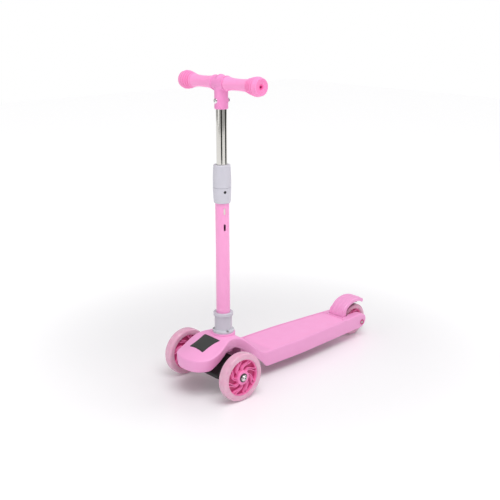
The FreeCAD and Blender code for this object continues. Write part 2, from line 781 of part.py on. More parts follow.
def truck():
    keep("truck_beam", made("truck_beam", truck_shape()))
    half = s.king_hub / 2
    bush = ring("king_bush", s.king_bush_dia, s.axle_dia + 2 * s.running_gap, -half, half,
                FRONT_X, 0, s.king_height, KING)
    keep("king_bush", bush)
    bolt = [cylinder("king_shank", s.axle_dia, s.king_hub + s.washer * 2 + s.king_bolt,
                     turn=UPRIGHT)]
    head = hexagon("king_head", s.bolt_head_dia, s.bolt_head)
    head.setExpression(".Placement.Base.z", (-s.bolt_head).text)
    bolt.append(head)
    whole = joined("king_bolt", *bolt)
    start = as_length(-1) * half - s.washer - s.end_gap
    lean = math.radians(s.king_lean.value)
    place(whole, FRONT_X + start * math.sin(lean), 0, s.king_height + start * math.cos(lean), KING)
    keep("king_bolt", whole)
    bore = s.axle_dia + 2 * s.seat_gap
    lower = ring("king_washer_low", s.washer_dia, bore, -half - s.washer - s.end_gap / 2,
                 -half - s.end_gap / 2, FRONT_X, 0, s.king_height, KING)
    upper = ring("king_washer_high", s.washer_dia, bore, half + s.end_gap,
                 half + s.washer, FRONT_X, 0, s.king_height, KING)
    keep("king_washers", group("king_washers", lower, upper))
    nut = minus("king_nut", hexagon("king_nut_hex", s.bolt_head_dia, s.bolt_head),
                cylinder("king_nut_bore", bore, s.bolt_head))
    place(nut, FRONT_X + s.king_seat * math.sin(lean), 0, s.king_height + s.king_seat * math.cos(lean),
          KING)
    keep("king_nut", nut)
    for side, sign in (("left", 1), ("right", -1)):
        low = s.truck_top
        keep(f"steer_buffer_{side}", cylinder(f"steer_buffer_{side}", s.buffer_dia, s.buffer_height,
                                              FRONT_X, sign * s.buffer_spread / 2, low))


def front_axles():
    """A bolt from outside each front wheel, through its bearings, into a nut in the beam."""
    nuts = []
    nut_inner = s.truck_span / 2 - 8 - s.bolt_head
    for side, sign, turn in (("left", 1, LEFT), ("right", -1, RIGHT)):
        outer = s.track / 2 + s.wheel_width / 2 + s.end_gap
        start = nut_inner - 4
        shank = cylinder(f"axle_shank_{side}", s.axle_dia, outer + s.washer + 1 - start,
                         FRONT_X, sign * start, FRONT_Z, turn)
        plate = ring(f"axle_washer_{side}", s.washer_dia, s.axle_dia - 1, outer, outer + s.washer,
                     FRONT_X, 0, FRONT_Z, turn)
        head = lathe(f"axle_head_{side}",
                     [(0, outer + s.washer), (s.bolt_head_dia / 2, outer + s.washer),
                      (s.bolt_head_dia / 2, outer + s.washer + s.bolt_head * 0.55),
                      (s.bolt_head_dia / 2 - 2, outer + s.washer + s.bolt_head * 0.9),
                      (0, outer + s.washer + s.bolt_head)],
                     FRONT_X, 0, FRONT_Z, turn)
        keep(f"front_axle_{side}", joined(f"front_axle_{side}", shank, plate, head))
        nut = minus(f"axle_nut_{side}",
                    hexagon(f"axle_nut_hex_{side}", s.bolt_head_dia, s.bolt_head,
                            FRONT_X, sign * nut_inner, FRONT_Z, turn * TWELFTH),
                    cylinder(f"axle_nut_bore_{side}", s.axle_dia + 2 * s.seat_gap, s.bolt_head,
                             FRONT_X, sign * nut_inner, FRONT_Z, turn))
        nuts.append(nut)
        hub_spacer(f"hub_spacer_{side}", FRONT_X, sign * s.track / 2, FRONT_Z)
    keep("front_axle_nuts", group("front_axle_nuts", *nuts))


# ---------------------------------------------------------------- rear wheel and brake

def rear_axle():
    face = s.fork_width / 2 - s.bolt_head - 0.5
    bolt = joined("rear_axle",
                  cylinder("rear_shank", s.axle_dia, 2 * face + s.bolt_head,
                           REAR_X, -face - s.bolt_head, REAR_Z, LEFT),
                  hexagon("rear_head", s.bolt_head_dia, s.bolt_head, REAR_X, face, REAR_Z, LEFT))
    keep("rear_axle", bolt)
    nut = minus("rear_axle_nut",
                hexagon("rear_nut_hex", s.bolt_head_dia, s.bolt_head, REAR_X, -face, REAR_Z, RIGHT),
                cylinder("rear_nut_bore", s.axle_dia + 2 * s.seat_gap, s.bolt_head,
                         REAR_X, -face, REAR_Z, RIGHT))
    keep("rear_axle_nut", nut)
    low = s.wheel_width / 2 + s.end_gap
    high = s.slot_width / 2
    bore = s.axle_dia + 2 * s.seat_gap
    sides = [ring(f"rear_spacer_{i}", s.axle_spacer_dia, bore, low, high, REAR_X, 0, REAR_Z, turn)
             for i, turn in enumerate((LEFT, RIGHT))]
    keep("rear_axle_spacers", group("rear_axle_spacers", *sides))
    hub_spacer("rear_hub_spacer", REAR_X, 0, REAR_Z)


def guard_shape():
    """A curved cover with short side walls and an eye on the hinge pin."""
    half = s.guard_width.value / 2
    wall = s.guard_wall.value

    def strip(depth, width, offset):
        outer = guard_line(0)
        inner = guard_line(depth)
        edges = [smooth(outer), smooth(inner), Part.makeLine(outer[0], inner[0]),
                 Part.makeLine(outer[-1], inner[-1])]
        face = closed_face(edges)
        face.translate(Vector(0, offset, 0))
        return face.extrude(Vector(0, width, 0))

    cover = strip(wall, 2 * half, -half)
    walls = [strip(wall * 3.3, wall, -half), strip(wall * 3.3, wall, half - wall)]
    pin_x = REAR_X.value + s.pin_reach.value
    pin_z = s.pin_height.value
    eye_half = s.slot_width.value / 2 - 2
    eye = Part.makeCylinder(5, 2 * eye_half, Vector(pin_x, -eye_half, pin_z), Vector(0, 1, 0))
    web = Part.makeBox(6, 2 * eye_half, 13, Vector(pin_x - 1, -eye_half, pin_z))
    bore = Part.makeCylinder(s.pin_dia.value / 2 + s.running_gap.value, 100,
                             Vector(pin_x, -50, pin_z), Vector(0, 1, 0))
    relief = Part.makeBox(40, 12, 11, Vector(pin_x - 20, -6, pin_z - 5.5))
    return cover.multiFuse(walls + [eye, web]).cut(bore.fuse(relief))


def shoe_shape(guard):
    """A block under the mudguard whose lower face follows the tyre."""
    half = s.shoe_width.value / 2
    radius = s.rear_wheel_dia.value / 2 + s.brake_gap.value
    x = REAR_X.value
    z = REAR_Z.value
    block = Part.makeBox(30, 2 * half, 60, Vector(x - 12, -half, z + 30))
    tyre = Part.makeCylinder(radius, 100, Vector(x, -50, z), Vector(0, 1, 0))
    above = Part.makeBox(200, 100, 60, Vector(x - 100, -50, s.guard_height.value - s.guard_wall.value - 1.2))
    return block.cut(tyre.fuse(above)).cut(guard)


def coil(radius, wire, turns, length):
    """A round-wire coil that stands upright."""
    path = Part.makeHelix(length / turns, length, radius)
    section = Part.Wire(Part.makeCircle(wire / 2, Vector(radius, 0, 0), Vector(0, 1, 0)))
    return Part.Wire(path).makePipeShell([section], True, True)


def brake():
    guard = guard_shape()
    keep("mudguard", made("mudguard", guard))
    keep("brake_shoe", made("brake_shoe", shoe_shape(guard)))
    reach = s.guard_width / 2 + 9
    keep("brake_pin", cylinder("brake_pin", s.pin_dia, 2 * reach, REAR_X + s.pin_reach, -reach,
                               s.pin_height, LEFT))
    wire = s.spring_wire.value
    length = s.brake_coil.value
    around = coil(s.pin_dia.value / 2 + wire, wire, 6, length)
    start = Vector(REAR_X.value + s.pin_reach.value, -length / 2, s.pin_height.value)
    keep("brake_spring", made("brake_spring", around, Placement(start, LEFT)))


# ---------------------------------------------------------------- column

def socket():
    """Grey cup that the column stands in, screwed to the body through its flange."""
    bore = s.tube_dia / 2 + s.seat_gap
    top = s.socket_height
    neck = s.socket_dia / 2
    rim = s.socket_rim_dia / 2
    section = [
        (bore, 0), (s.flange_dia / 2, 0), (s.flange_dia / 2, s.flange - 1.5),
        (s.flange_dia / 2 - 1.5, s.flange), (neck, s.flange), (neck, top - s.socket_rim),
        (rim - 1, top - s.socket_rim), (rim, top - s.socket_rim + 1.5), (rim, top - 2),
        (rim - 2, top), (bore, top),
    ]
    cup = lathe("socket_cup", section, COLUMN_X, 0, s.seat_height)
    holes = []
    screws = []
    for i, (x, y) in enumerate(screw_places()):
        size = s.screw_dia + 2 * s.seat_gap
        off_x = COLUMN_X + (x - COLUMN_X.value)
        holes.append(cylinder(f"screw_hole_{i}", size, s.flange + 2, off_x, y, s.seat_height - 1))
        holes.append(cylinder(f"screw_room_{i}", s.screw_head_dia + 1, s.flange, off_x, y,
                              s.seat_height + s.flange - 1))
        shank = cylinder(f"screw_shank_{i}", s.screw_dia, s.screw_length + s.flange - 2,
                         off_x, y, s.seat_height - s.screw_length + 0.5)
        head = cylinder(f"screw_head_{i}", s.screw_head_dia, 2, off_x, y,
                        s.seat_height + s.flange - 1)
        screws.append(joined(f"socket_screw_{i}", shank, head))
    keep("column_socket", minus("column_socket", cup, *holes))
    keep("socket_screws", group("socket_screws", *screws))


def slot_tool(name, height, length, width, out):
    """A long hole through one wall, pointing in the catch's direction."""
    ends = []
    half = (length - width) / 2
    for i, sign in enumerate((-1, 1)):
        ends.append(cylinder(f"{name}_end_{i}", width, out, COLUMN_X, 0, height + sign * half, CATCH))
    middle = doc.addObject("Part::Box", f"{name}_middle")
    middle.setExpression("Length", as_length(out).text)
    middle.setExpression("Width", as_length(width).text)
    middle.setExpression("Height", (length - width).text)
    angle = math.radians(s.catch_turn.value)
    shift = width / 2
    place(middle, COLUMN_X + shift * math.sin(angle), -shift * math.cos(angle), height - half,
          Rotation(Vector(0, 0, 1), s.catch_turn.value))
    return joined(name, *ends, middle)


def outer_tube():
    inside = s.tube_dia - 2 * s.tube_wall
    pipe = ring("outer_pipe", s.tube_dia, inside, s.tube_foot, s.tube_top, COLUMN_X)
    heights = (s.catch_low, s.catch_low + s.catch_pitch, s.button_height)
    slots = [slot_tool(f"catch_{i}", height, s.catch_length, s.catch_width, s.tube_dia)
             for i, height in enumerate(heights)]
    keep("outer_tube", minus("outer_tube", pipe, *slots))
    plug_top = s.tube_foot + 25
    keep("column_plug", ring("column_plug", inside - 2 * s.seat_gap, s.axle_dia + 2 * s.seat_gap,
                             s.tube_foot, plug_top, COLUMN_X))
    floor = s.tube_foot - 4
    bolt = joined("column_bolt",
                  cylinder("column_shank", s.axle_dia, 24, COLUMN_X, 0, floor),
                  hexagon("column_head", s.bolt_head_dia, s.bolt_head, COLUMN_X, 0,
                          floor - s.bolt_head))
    keep("column_bolt", bolt)
    bore = s.stem_dia + 2 * s.running_gap
    low = s.tube_top - s.bush_length
    body = inside / 2 - s.seat_gap
    section = [(bore / 2, low), (body, low), (body, s.tube_top), (s.tube_dia / 2, s.tube_top),
               (s.tube_dia / 2, s.tube_top + s.bush_flange), (bore / 2, s.tube_top + s.bush_flange)]
    keep("guide_bush", lathe("guide_bush", section, COLUMN_X))


def collar():
    """A barrel round the tube's top, in two halves, with the release button in the lower one."""
    bore = s.tube_dia / 2 + s.seat_gap
    end = s.collar_end_dia / 2
    wide = s.collar_dia / 2
    base = s.collar_base
    seam = s.collar_seam
    lower = lathe("collar_lower", [(bore, base), (end - 1, base), (end, base + 1.5),
                                   (wide - 0.7, base + 20), (wide, seam), (bore, seam)], COLUMN_X)
    hole = cylinder("button_hole", s.button_dia + 2 * s.running_gap, 40, COLUMN_X, 0,
                    s.button_height, CATCH)
    x, y = catch_out(wide - 1.2)
    rim = cylinder("button_recess", s.button_rim, 10, x, y, s.button_height, CATCH)
    room = slot_tool("catch_room", s.button_height, s.catch_length + 1, s.catch_width + 1,
                     s.tube_dia / 2 + 0.8)
    keep("collar_base", minus("collar_base", lower, hole, rim, room))
    top = s.collar_top
    shelf = s.tube_top + s.bush_flange + s.seat_gap
    lip = s.stem_dia / 2 + 0.4
    cap = [(bore, seam), (wide, seam), (wide, seam + 12), (wide - 0.7, seam + 28), (end, top - 3),
           (end - 2.5, top), (lip, top), (lip, shelf), (bore, shelf)]
    keep("collar_cap", lathe("collar_cap", cap, COLUMN_X))


def catch_out(distance):
    """The place that far from the column's middle, towards the slots."""
    angle = math.radians(s.catch_turn.value)
    return COLUMN_X + distance * math.cos(angle), as_length(distance) * math.sin(angle)


def catch():
    """The release button in the collar, and the sprung catch in the stem behind it."""
    tip = s.tube_dia / 2 + 0.2
    inner = tip + s.running_gap
    face = s.collar_dia / 2 - 1
    x, y = catch_out(inner)
    keep("release_button", cylinder("release_button", s.button_dia, face - inner, x, y,
                                    s.button_height, CATCH))
    gap = 2 * s.running_gap
    tongue = slot_tool("catch_tongue", s.button_height, s.catch_length - gap,
                       s.catch_width - gap, tip)
    start = s.stem_dia / 2 - s.tube_wall - s.catch_back
    core = cylinder("catch_core", 2 * start, 40, COLUMN_X, 0, s.button_height - 20)
    keep("snap_catch", minus("snap_catch", tongue, core))


def stem():
    inside = s.stem_dia - 2 * s.tube_wall
    pipe = ring("stem_pipe", s.stem_dia, inside, s.stem_foot, s.stem_top, COLUMN_X)
    window = slot_tool("stem_window", s.button_height, s.catch_length, s.catch_width, s.stem_dia)
    hole = cylinder("stem_bolt_hole", s.clamp_dia + 2 * s.seat_gap, 60, COLUMN_X - 30, 0,
                    s.clamp_height, FORWARD)
    keep("inner_tube", minus("inner_tube", pipe, window, hole))
    foot = [(s.stem_dia / 2 + s.seat_gap, s.stem_foot),
            (s.stem_dia / 2 + s.seat_gap, s.stem_foot + 18),
            (s.tube_dia / 2 - s.tube_wall - s.running_gap, s.stem_foot + 18),
            (s.tube_dia / 2 - s.tube_wall - s.running_gap, s.stem_foot - 4),
            (inside / 2, s.stem_foot - 4), (inside / 2, s.stem_foot)]
    keep("stem_foot_bush", lathe("stem_foot_bush", foot, COLUMN_X))
    turn = Rotation(Vector(0, 0, 1), s.catch_turn.value)
    beside = turn.multVec(Vector(0, -3, 0))
    keep("catch_spring", made("catch_spring", spring_shape(),
                              Placement(beside + Vector(COLUMN_X.value, 0, 0), turn)))


def spring_shape():
    """A flat V spring inside the stem that pushes the catch outward."""
    thick = 0.7
    inside = s.stem_dia.value / 2 - s.tube_wall.value
    back = inside - s.catch_back.value - 0.6
    height = s.button_height.value
    low = height - 34
    path = [(back, height + 6), (back, height - 6), (-2, low),
            (0.6 - inside, height - 4), (0.6 - inside, height + 8)]
    outer = [Vector(a, 0, b) for a, b in path]
    inner = [Vector(a - math.copysign(thick, a + 2.001) if abs(a + 2) > 0.1 else a,
                    0, b + (2 * thick if abs(a + 2) < 0.1 else 0)) for a, b in path]
    loop = outer + inner[::-1] + outer[:1]
    return Part.Face(Part.makePolygon(loop)).extrude(Vector(0, 6, 0))


# ---------------------------------------------------------------- handlebar

def tee():
    sleeve = lathe("tee_sleeve", [(0, s.sleeve_base), (s.sleeve_dia / 2 - 1, s.sleeve_base),
                                  (s.sleeve_dia / 2, s.sleeve_base + 1.5),
                                  (s.sleeve_dia / 2, s.bar_height), (0, s.bar_height)], COLUMN_X)
    half = s.barrel_width / 2
    wide = s.barrel_dia / 2
    lip = s.grip_lip / 2
    barrel = lathe("tee_barrel", [(0, -half), (lip, -half), (lip, -half + 3), (wide, -half + 8),
                                  (wide, half - 8), (lip, half - 3), (lip, half), (0, half)],
                   COLUMN_X, 0, s.bar_height, LEFT)
    stem_bore = cylinder("tee_stem_bore", s.stem_dia + 2 * s.seat_gap, s.stem_top - s.sleeve_base + 1,
                         COLUMN_X, 0, s.sleeve_base - 1)
    bar_bore = cylinder("tee_bar_bore", s.core_dia + 2 * s.seat_gap, s.barrel_width + 2,
                        COLUMN_X, -half - 1, s.bar_height, LEFT)
    bolt_bore = cylinder("tee_bolt_bore", s.clamp_dia + 2 * s.seat_gap, 60, COLUMN_X - 30, 0,
                         s.clamp_height, FORWARD)
    keep("tee_head", minus("tee_head", joined("tee_solid", sleeve, barrel),
                           stem_bore, bar_bore, bolt_bore))
    reach = s.sleeve_dia / 2
    bolt = joined("tee_bolt",
                  cylinder("tee_shank", s.clamp_dia, 2 * reach + 6, COLUMN_X - reach - 6, 0,
                           s.clamp_height, FORWARD),
                  lathe("tee_bolt_head", [(0, 0), (6, 0), (6, 1.5), (4, 3.6), (0, 4.2)],
                        COLUMN_X + reach, 0, s.clamp_height, FORWARD))
    keep("tee_bolt", bolt)
    nut = minus("tee_nut", hexagon("tee_nut_hex", 10, 5, COLUMN_X - reach, 0, s.clamp_height, BACKWARD),
                cylinder("tee_nut_bore", s.clamp_dia + 2 * s.seat_gap, 5, COLUMN_X - reach, 0,
                         s.clamp_height, BACKWARD))
    keep("tee_nut", nut)


def grips():
    """A steel bar through the T-piece, and a ridged rubber grip on each half of it."""
    half = s.bar_width / 2
    core_half = half - 8
    core = ring("handlebar_core", s.core_dia, s.core_dia - 2 * s.tube_wall, -core_half, core_half,
                COLUMN_X, 0, s.bar_height, LEFT)
    keep("handlebar_core", core)
    bore = s.core_dia / 2 + s.seat_gap
    inner = s.barrel_width / 2 + 0.6
    bell = half - s.grip_bell_width
    waist = s.grip_waist / 2
    flare = s.grip_bell / 2
    section = [(bore, inner), (s.grip_lip / 2, inner), (s.grip_lip / 2, inner + 3.5),
               (waist + 0.6, inner + 8), (waist, (inner + bell) / 2), (waist + 0.8, bell)]
    ridges = 5
    pitch = (s.grip_bell_width - 8) / ridges
    for i in range(ridges):
        share = (i + 1) / ridges
        crest = waist + 1 + (flare - waist - 1) * min(1, share * 1.25)
        start = bell + i * pitch
        section += [(crest, start + pitch * 0.3), (crest, start + pitch * 0.75),
                    (crest - 1.3, start + pitch)]
    section += [(flare, half - 6), (flare - 0.8, half - 2), (flare - 3.5, half),
                (s.grip_hole / 2, half), (s.grip_hole / 2, core_half), (bore, core_half)]
    for side, turn in (("left", LEFT), ("right", RIGHT)):
        keep(f"grip_{side}", lathe(f"grip_{side}", section, COLUMN_X, 0, s.bar_height, turn))


# ---------------------------------------------------------------- build

def build():
    moulded_body()
    truck()
    front_axles()
    wheel("front_left", s.front_wheel_dia, s.front_rim_dia, FRONT_X, s.track / 2, FRONT_Z)
    wheel("front_right", s.front_wheel_dia, s.front_rim_dia, FRONT_X, -s.track / 2, FRONT_Z)
    wheel("rear", s.rear_wheel_dia, s.rear_rim_dia, REAR_X, 0, REAR_Z)
    rear_axle()
    brake()
    socket()
    outer_tube()
    collar()
    catch()
    stem()
    tee()
    grips()
    doc.recompute()


def check():
    """Stop if any object failed, or any piece has no valid solid."""
    for item in doc.Objects:
        faults = [state for state in item.State if state in ("Invalid", "Error")]
        if faults:
            raise SystemExit(f"{item.Name} ({item.Label}): {faults}")
    for node, piece in parts.items():
        shape = piece.Shape
        if shape.isNull() or not shape.isValid() or not shape.Solids:
            raise SystemExit(f"{node}: shape not valid")


def export():
    os.makedirs("parts", exist_ok=True)
    for node, piece in parts.items():
        piece.Shape.exportStep(os.path.join("parts", f"{node}.step"))
    print(len(parts), "nodes,", sum(len(piece.Shape.Solids) for piece in parts.values()), "solids")


build()
check()
export()
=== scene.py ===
# %% [markdown]
# # A child's three-wheeled kick scooter
# The CAD model is the frame: it says where every piece sits and how it moves. This notebook
# puts finished surfaces round it. Shapes are worked out with numpy in millimetres, as functions
# of two parameters on a grid, and turned to metres when the mesh is made. +X is forward,
# +Y the rider's left, +Z up.

# %% Frame, imports and the CAD box
import json
import math

import bpy
import numpy as np
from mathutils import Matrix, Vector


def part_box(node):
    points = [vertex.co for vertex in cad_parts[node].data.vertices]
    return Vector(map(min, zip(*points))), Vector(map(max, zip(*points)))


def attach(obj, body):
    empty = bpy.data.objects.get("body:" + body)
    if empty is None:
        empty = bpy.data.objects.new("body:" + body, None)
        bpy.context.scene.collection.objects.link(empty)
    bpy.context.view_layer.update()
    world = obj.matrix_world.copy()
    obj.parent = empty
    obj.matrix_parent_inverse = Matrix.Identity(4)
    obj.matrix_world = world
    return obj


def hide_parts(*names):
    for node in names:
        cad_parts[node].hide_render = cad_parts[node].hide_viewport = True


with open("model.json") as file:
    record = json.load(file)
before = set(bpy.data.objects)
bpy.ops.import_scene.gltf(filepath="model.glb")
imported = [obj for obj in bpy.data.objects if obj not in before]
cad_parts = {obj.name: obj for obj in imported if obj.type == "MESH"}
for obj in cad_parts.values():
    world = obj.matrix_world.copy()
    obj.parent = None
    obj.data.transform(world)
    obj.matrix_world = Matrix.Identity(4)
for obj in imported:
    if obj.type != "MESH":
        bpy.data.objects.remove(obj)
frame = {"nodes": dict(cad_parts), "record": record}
bpy.context.scene.view_settings.view_transform = "Standard"
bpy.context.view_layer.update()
MM = 0.001
record = frame["record"]
joints = {joint["name"]: joint for joint in record["behaviour"]["joints"]}


# %% [markdown]
# ## Places taken from the frame
# Each axle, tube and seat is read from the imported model, so a change in the CAD moves the
# finished piece with it. Heights and radii are kept in millimetres.

# %% Places
def span(node, axis):
    """Lowest and highest coordinate of a CAD node along an axis, in millimetres."""
    low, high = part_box(node)
    return low["xyz".index(axis)] / MM, high["xyz".index(axis)] / MM


def pivot(joint):
    return np.array(joints[joint]["pos_m"]) / MM


FRONT_LEFT = pivot("wheel_front_left_spin")
FRONT_RIGHT = pivot("wheel_front_right_spin")
REAR = pivot("wheel_rear_spin")
FRONT_X = FRONT_LEFT[0]
COLUMN_X = sum(span("inner_tube", "x")) / 2
BAR_Z = sum(span("handlebar_core", "z")) / 2
CATCH_TURN = math.atan2(-joints["button_press"]["axis"][1], -joints["button_press"]["axis"][0])
print("front axle", FRONT_X, "column", round(COLUMN_X, 2), "rear axle", REAR[0])

# %% [markdown]
# ## The camera
# A long lens stands in front of the scooter's left side and a little above it, level with the
# horizon line of the studio, so that uprights stay upright.

# %% Camera
def aim_camera(place, turn, drop, lens):
    """A camera at place (mm), turned from straight ahead and tilted down, in degrees."""
    data = bpy.data.cameras.new("camera")
    data.lens = lens
    data.sensor_width = 36
    camera = bpy.data.objects.new("camera", data)
    bpy.context.scene.collection.objects.link(camera)
    camera.location = [c * MM for c in place]
    camera.rotation_euler = (math.radians(90 - drop), 0, math.radians(turn + 90))
    bpy.context.scene.camera = camera


CAMERA_TURN = 47.95
CAMERA_DROP = 16.44
aim_camera((FRONT_X + 1214.6, 1486.1, 916.2), CAMERA_TURN, CAMERA_DROP, 60.68)


# %% [markdown]
# ## Tools for meshes
# Three helpers make most shapes. `rounded` turns a corner list into an outline with true arcs.
# `put_mesh` sends arrays of points and faces to Blender; before that, `turned_outwards` turns the faces outwards by
# the sign of the enclosed volume. `lathe` turns an outline round an axis.

# %% Outline with round corners
def rounded(corners, closed=True, steps=6):
    """Corners are (across, along, radius). Each corner is cut back along both its sides by
    radius times the tangent of half the turn, and an arc joins the two cuts."""
    at = np.array([corner[:2] for corner in corners], float)
    out = []
    count = len(at)
    for i in range(count):
        radius = corners[i][2]
        if radius <= 0 or (not closed and i in (0, count - 1)):
            out.append(at[i][None])
            continue
        before = at[i - 1] - at[i]
        after = at[(i + 1) % count] - at[i]
        room = 0.49 * min(np.linalg.norm(before), np.linalg.norm(after))
        before /= np.linalg.norm(before)
        after /= np.linalg.norm(after)
        half = math.acos(np.clip(before @ after, -1, 1)) / 2
        cut = min(radius / math.tan(half), room)
        radius = cut * math.tan(half)
        middle = at[i] + (before + after) / np.linalg.norm(before + after) * radius / math.sin(half)
        first = at[i] + before * cut - middle
        last = at[i] + after * cut - middle
        turn = math.atan2(first[0] * last[1] - first[1] * last[0], first @ last)
        angle = np.linspace(0, turn, steps + 1)[:, None]
        side = np.array([-first[1], first[0]])
        out.append(middle + first * np.cos(angle) + side * np.sin(angle))
    return np.vstack(out)


# %% Mesh from arrays
def turned_outwards(points, faces):
    """Reverse every face when the volume that they enclose comes out negative."""
    volume = 0.0
    for k in range(1, faces.shape[1] - 1):
        a, b, c = (points[faces[:, j]] for j in (0, k, k + 1))
        volume += np.einsum("ij,ij->", a, np.cross(b, c))
    return faces if volume > 0 else faces[:, ::-1]


def put_mesh(name, points, faces, sharp=35):
    """Points in millimetres and faces (one array, or a list of arrays) become a smooth-shaded
    object whose edges stay sharp above an angle."""
    groups = faces if isinstance(faces, list) else [faces]
    mesh = bpy.data.meshes.new(name)
    mesh.from_pydata(np.asarray(points, float) * MM, [], [f for g in groups for f in g.tolist()])
    mesh.validate()
    mesh.polygons.foreach_set("use_smooth", np.ones(len(mesh.polygons), bool))
    mesh.set_sharp_from_angle(angle=math.radians(sharp))
    piece = bpy.data.objects.new(name, mesh)
    bpy.context.scene.collection.objects.link(piece)
    return piece


def grid_faces(rows, columns, wrap_rows=False, wrap_columns=False):
    """Quads of a grid of points numbered row by row."""
    r = np.arange(rows if wrap_rows else rows - 1)
    c = np.arange(columns if wrap_columns else columns - 1)
    r, c = (a.ravel() for a in np.meshgrid(r, c, indexing="ij"))
    down = (r + 1) % rows
    right = (c + 1) % columns
    return np.stack([r * columns + c, r * columns + right,
                     down * columns + right, down * columns + c], 1)


def welded(points, faces, reach=0.002):
    """Points closer than reach become one, and faces that collapse to a line are dropped."""
    keys, first, index = np.unique(np.round(points / reach).astype(np.int64), axis=0,
                                   return_index=True, return_inverse=True)
    index = index.ravel()
    quads = index[faces]
    points = points[first]
    lists = []
    for width in (4, 3):
        same = quads == np.roll(quads, -1, axis=1)
        count = same.sum(1)
        if width == 4:
            lists.append(quads[count == 0])
            once = quads[count == 1]
            keep = ~(once == np.roll(once, -1, axis=1))
            lists.append(once[keep].reshape(-1, 3))
            break
    return points, lists


# %% Lathe
def lathe_arrays(outline, steps=96, closed=True):
    """An outline of (radius, distance) turned round the Z axis: each point's circle is
    (r cos a, r sin a, h). An outline that ends on the axis is open and closes at its poles."""
    angle = np.arange(steps) * 2 * np.pi / steps
    radius, along = np.asarray(outline, float).T
    points = np.stack([np.outer(radius, np.cos(angle)), np.outer(radius, np.sin(angle)),
                       np.repeat(along[:, None], steps, 1)], 2).reshape(-1, 3)
    faces = grid_faces(len(radius), steps, closed, True)
    return points, turned_outwards(points, faces)


def along_y(points):
    """Turn a shape made round Z so that its axis lies along +Y."""
    return points[:, [0, 2, 1]] * [1, 1, -1]


def lathe(name, outline, place=(0, 0, 0), flip=None, steps=96, closed=True, sharp=35):
    points, faces = lathe_arrays(outline, steps, closed)
    if flip:
        points = flip(points)
    faces = turned_outwards(points, faces)
    points, faces = welded(points + np.asarray(place, float), faces)
    return put_mesh(name, points, faces, sharp)


def joined_arrays(*shapes):
    """Several (points, faces) as one pair of lists."""
    points, faces, start = [], [], 0
    for shape_points, shape_faces in shapes:
        groups = shape_faces if isinstance(shape_faces, list) else [shape_faces]
        faces += [group + start for group in groups if len(group)]
        points.append(shape_points)
        start += len(shape_points)
    return np.vstack(points), faces


# %% Skins over rings
def pole(ring):
    """A ring collapsed to its middle, which closes a skin's end."""
    return np.repeat(ring.mean(0)[None], len(ring), 0)


def skin(rings, wrap=False):
    """Rings of equal length become one closed surface: each ring is joined to the next, and to
    itself all the way round. With wrap, the last ring is joined to the first as well."""
    grid = np.stack(rings)
    points = grid.reshape(-1, 3)
    faces = grid_faces(grid.shape[0], grid.shape[1], wrap, True)
    return welded(points, turned_outwards(points, faces))


def flat_ring(outline, level, axis=2):
    """A flat outline placed at a level along an axis."""
    return np.insert(np.asarray(outline, float), axis, level, axis=1)


def prism_arrays(outline, low, high, axis=2):
    """A flat outline carried from low to high along an axis."""
    base, top = flat_ring(outline, low, axis), flat_ring(outline, high, axis)
    return skin([pole(base), base, top, pole(top)])


# %% Cutting with a modifier
def cut(piece, *cutters):
    """Take the cutters' shapes out of the piece, one exact boolean each, then drop them."""
    for cutter in cutters:
        modifier = piece.modifiers.new("cut", "BOOLEAN")
        modifier.operation = "DIFFERENCE"
        modifier.solver = "EXACT"
        modifier.object = cutter
    bpy.context.view_layer.update()
    solid = piece.evaluated_get(bpy.context.evaluated_depsgraph_get())
    mesh = bpy.data.meshes.new_from_object(solid)
    old = piece.data
    piece.modifiers.clear()
    piece.data = mesh
    bpy.data.meshes.remove(old)
    for cutter in cutters:
        shape = cutter.data
        bpy.data.objects.remove(cutter)
        bpy.data.meshes.remove(shape)
    mesh.polygons.foreach_set("use_smooth", np.ones(len(mesh.polygons), bool))
    mesh.set_sharp_from_angle(angle=math.radians(35))
    return piece


def cutter(outline, low, high, axis=2):
    points, faces = prism_arrays(outline, low, high, axis)
    return put_mesh("cutter", points, faces)


def circle(radius, middle=(0, 0), steps=40):
    angle = np.arange(steps) * 2 * np.pi / steps
    return np.stack([middle[0] + radius * np.cos(angle), middle[1] + radius * np.sin(angle)], 1)


# %% [markdown]
# ## Tools for materials
# Colours are written as sRGB hex values and turned to linear light by one function. One more
# function adds a node with its settings and links, and `finish_of` starts a Principled shader.

# %% Colours and nodes
def linear(hex_colour, alpha=1.0):
    """sRGB hex to linear light: below 0.04045 divide by 12.92, above it the 2.4 power."""
    srgb = np.array([int(hex_colour[i:i + 2], 16) for i in (1, 3, 5)]) / 255
    value = np.where(srgb <= 0.04045, srgb / 12.92, ((srgb + 0.055) / 1.055) ** 2.4)
    return (*value.tolist(), alpha)


def add(tree, kind, inputs=(), **settings):
    """A node with its settings; an input that is a socket is linked, any other is set."""
    node = tree.nodes.new(kind)
    for key, value in settings.items():
        setattr(node, key, value)
    for key, value in dict(inputs).items():
        if isinstance(value, bpy.types.NodeSocket):
            tree.links.new(value, node.inputs[key])
        else:
            node.inputs[key].default_value = value
    return node


def finish_of(name, colour, roughness, **sockets):
    """A material with one Principled shader; sockets are its plain values."""
    material = bpy.data.materials.new(name)
    material.use_nodes = True
    tree = material.node_tree
    shader = tree.nodes["Principled BSDF"]
    shader.inputs["Base Color"].default_value = linear(colour)
    shader.inputs["Roughness"].default_value = roughness
    for key, value in sockets.items():
        shader.inputs[key.replace("_", " ")].default_value = value
    return material, tree, shader


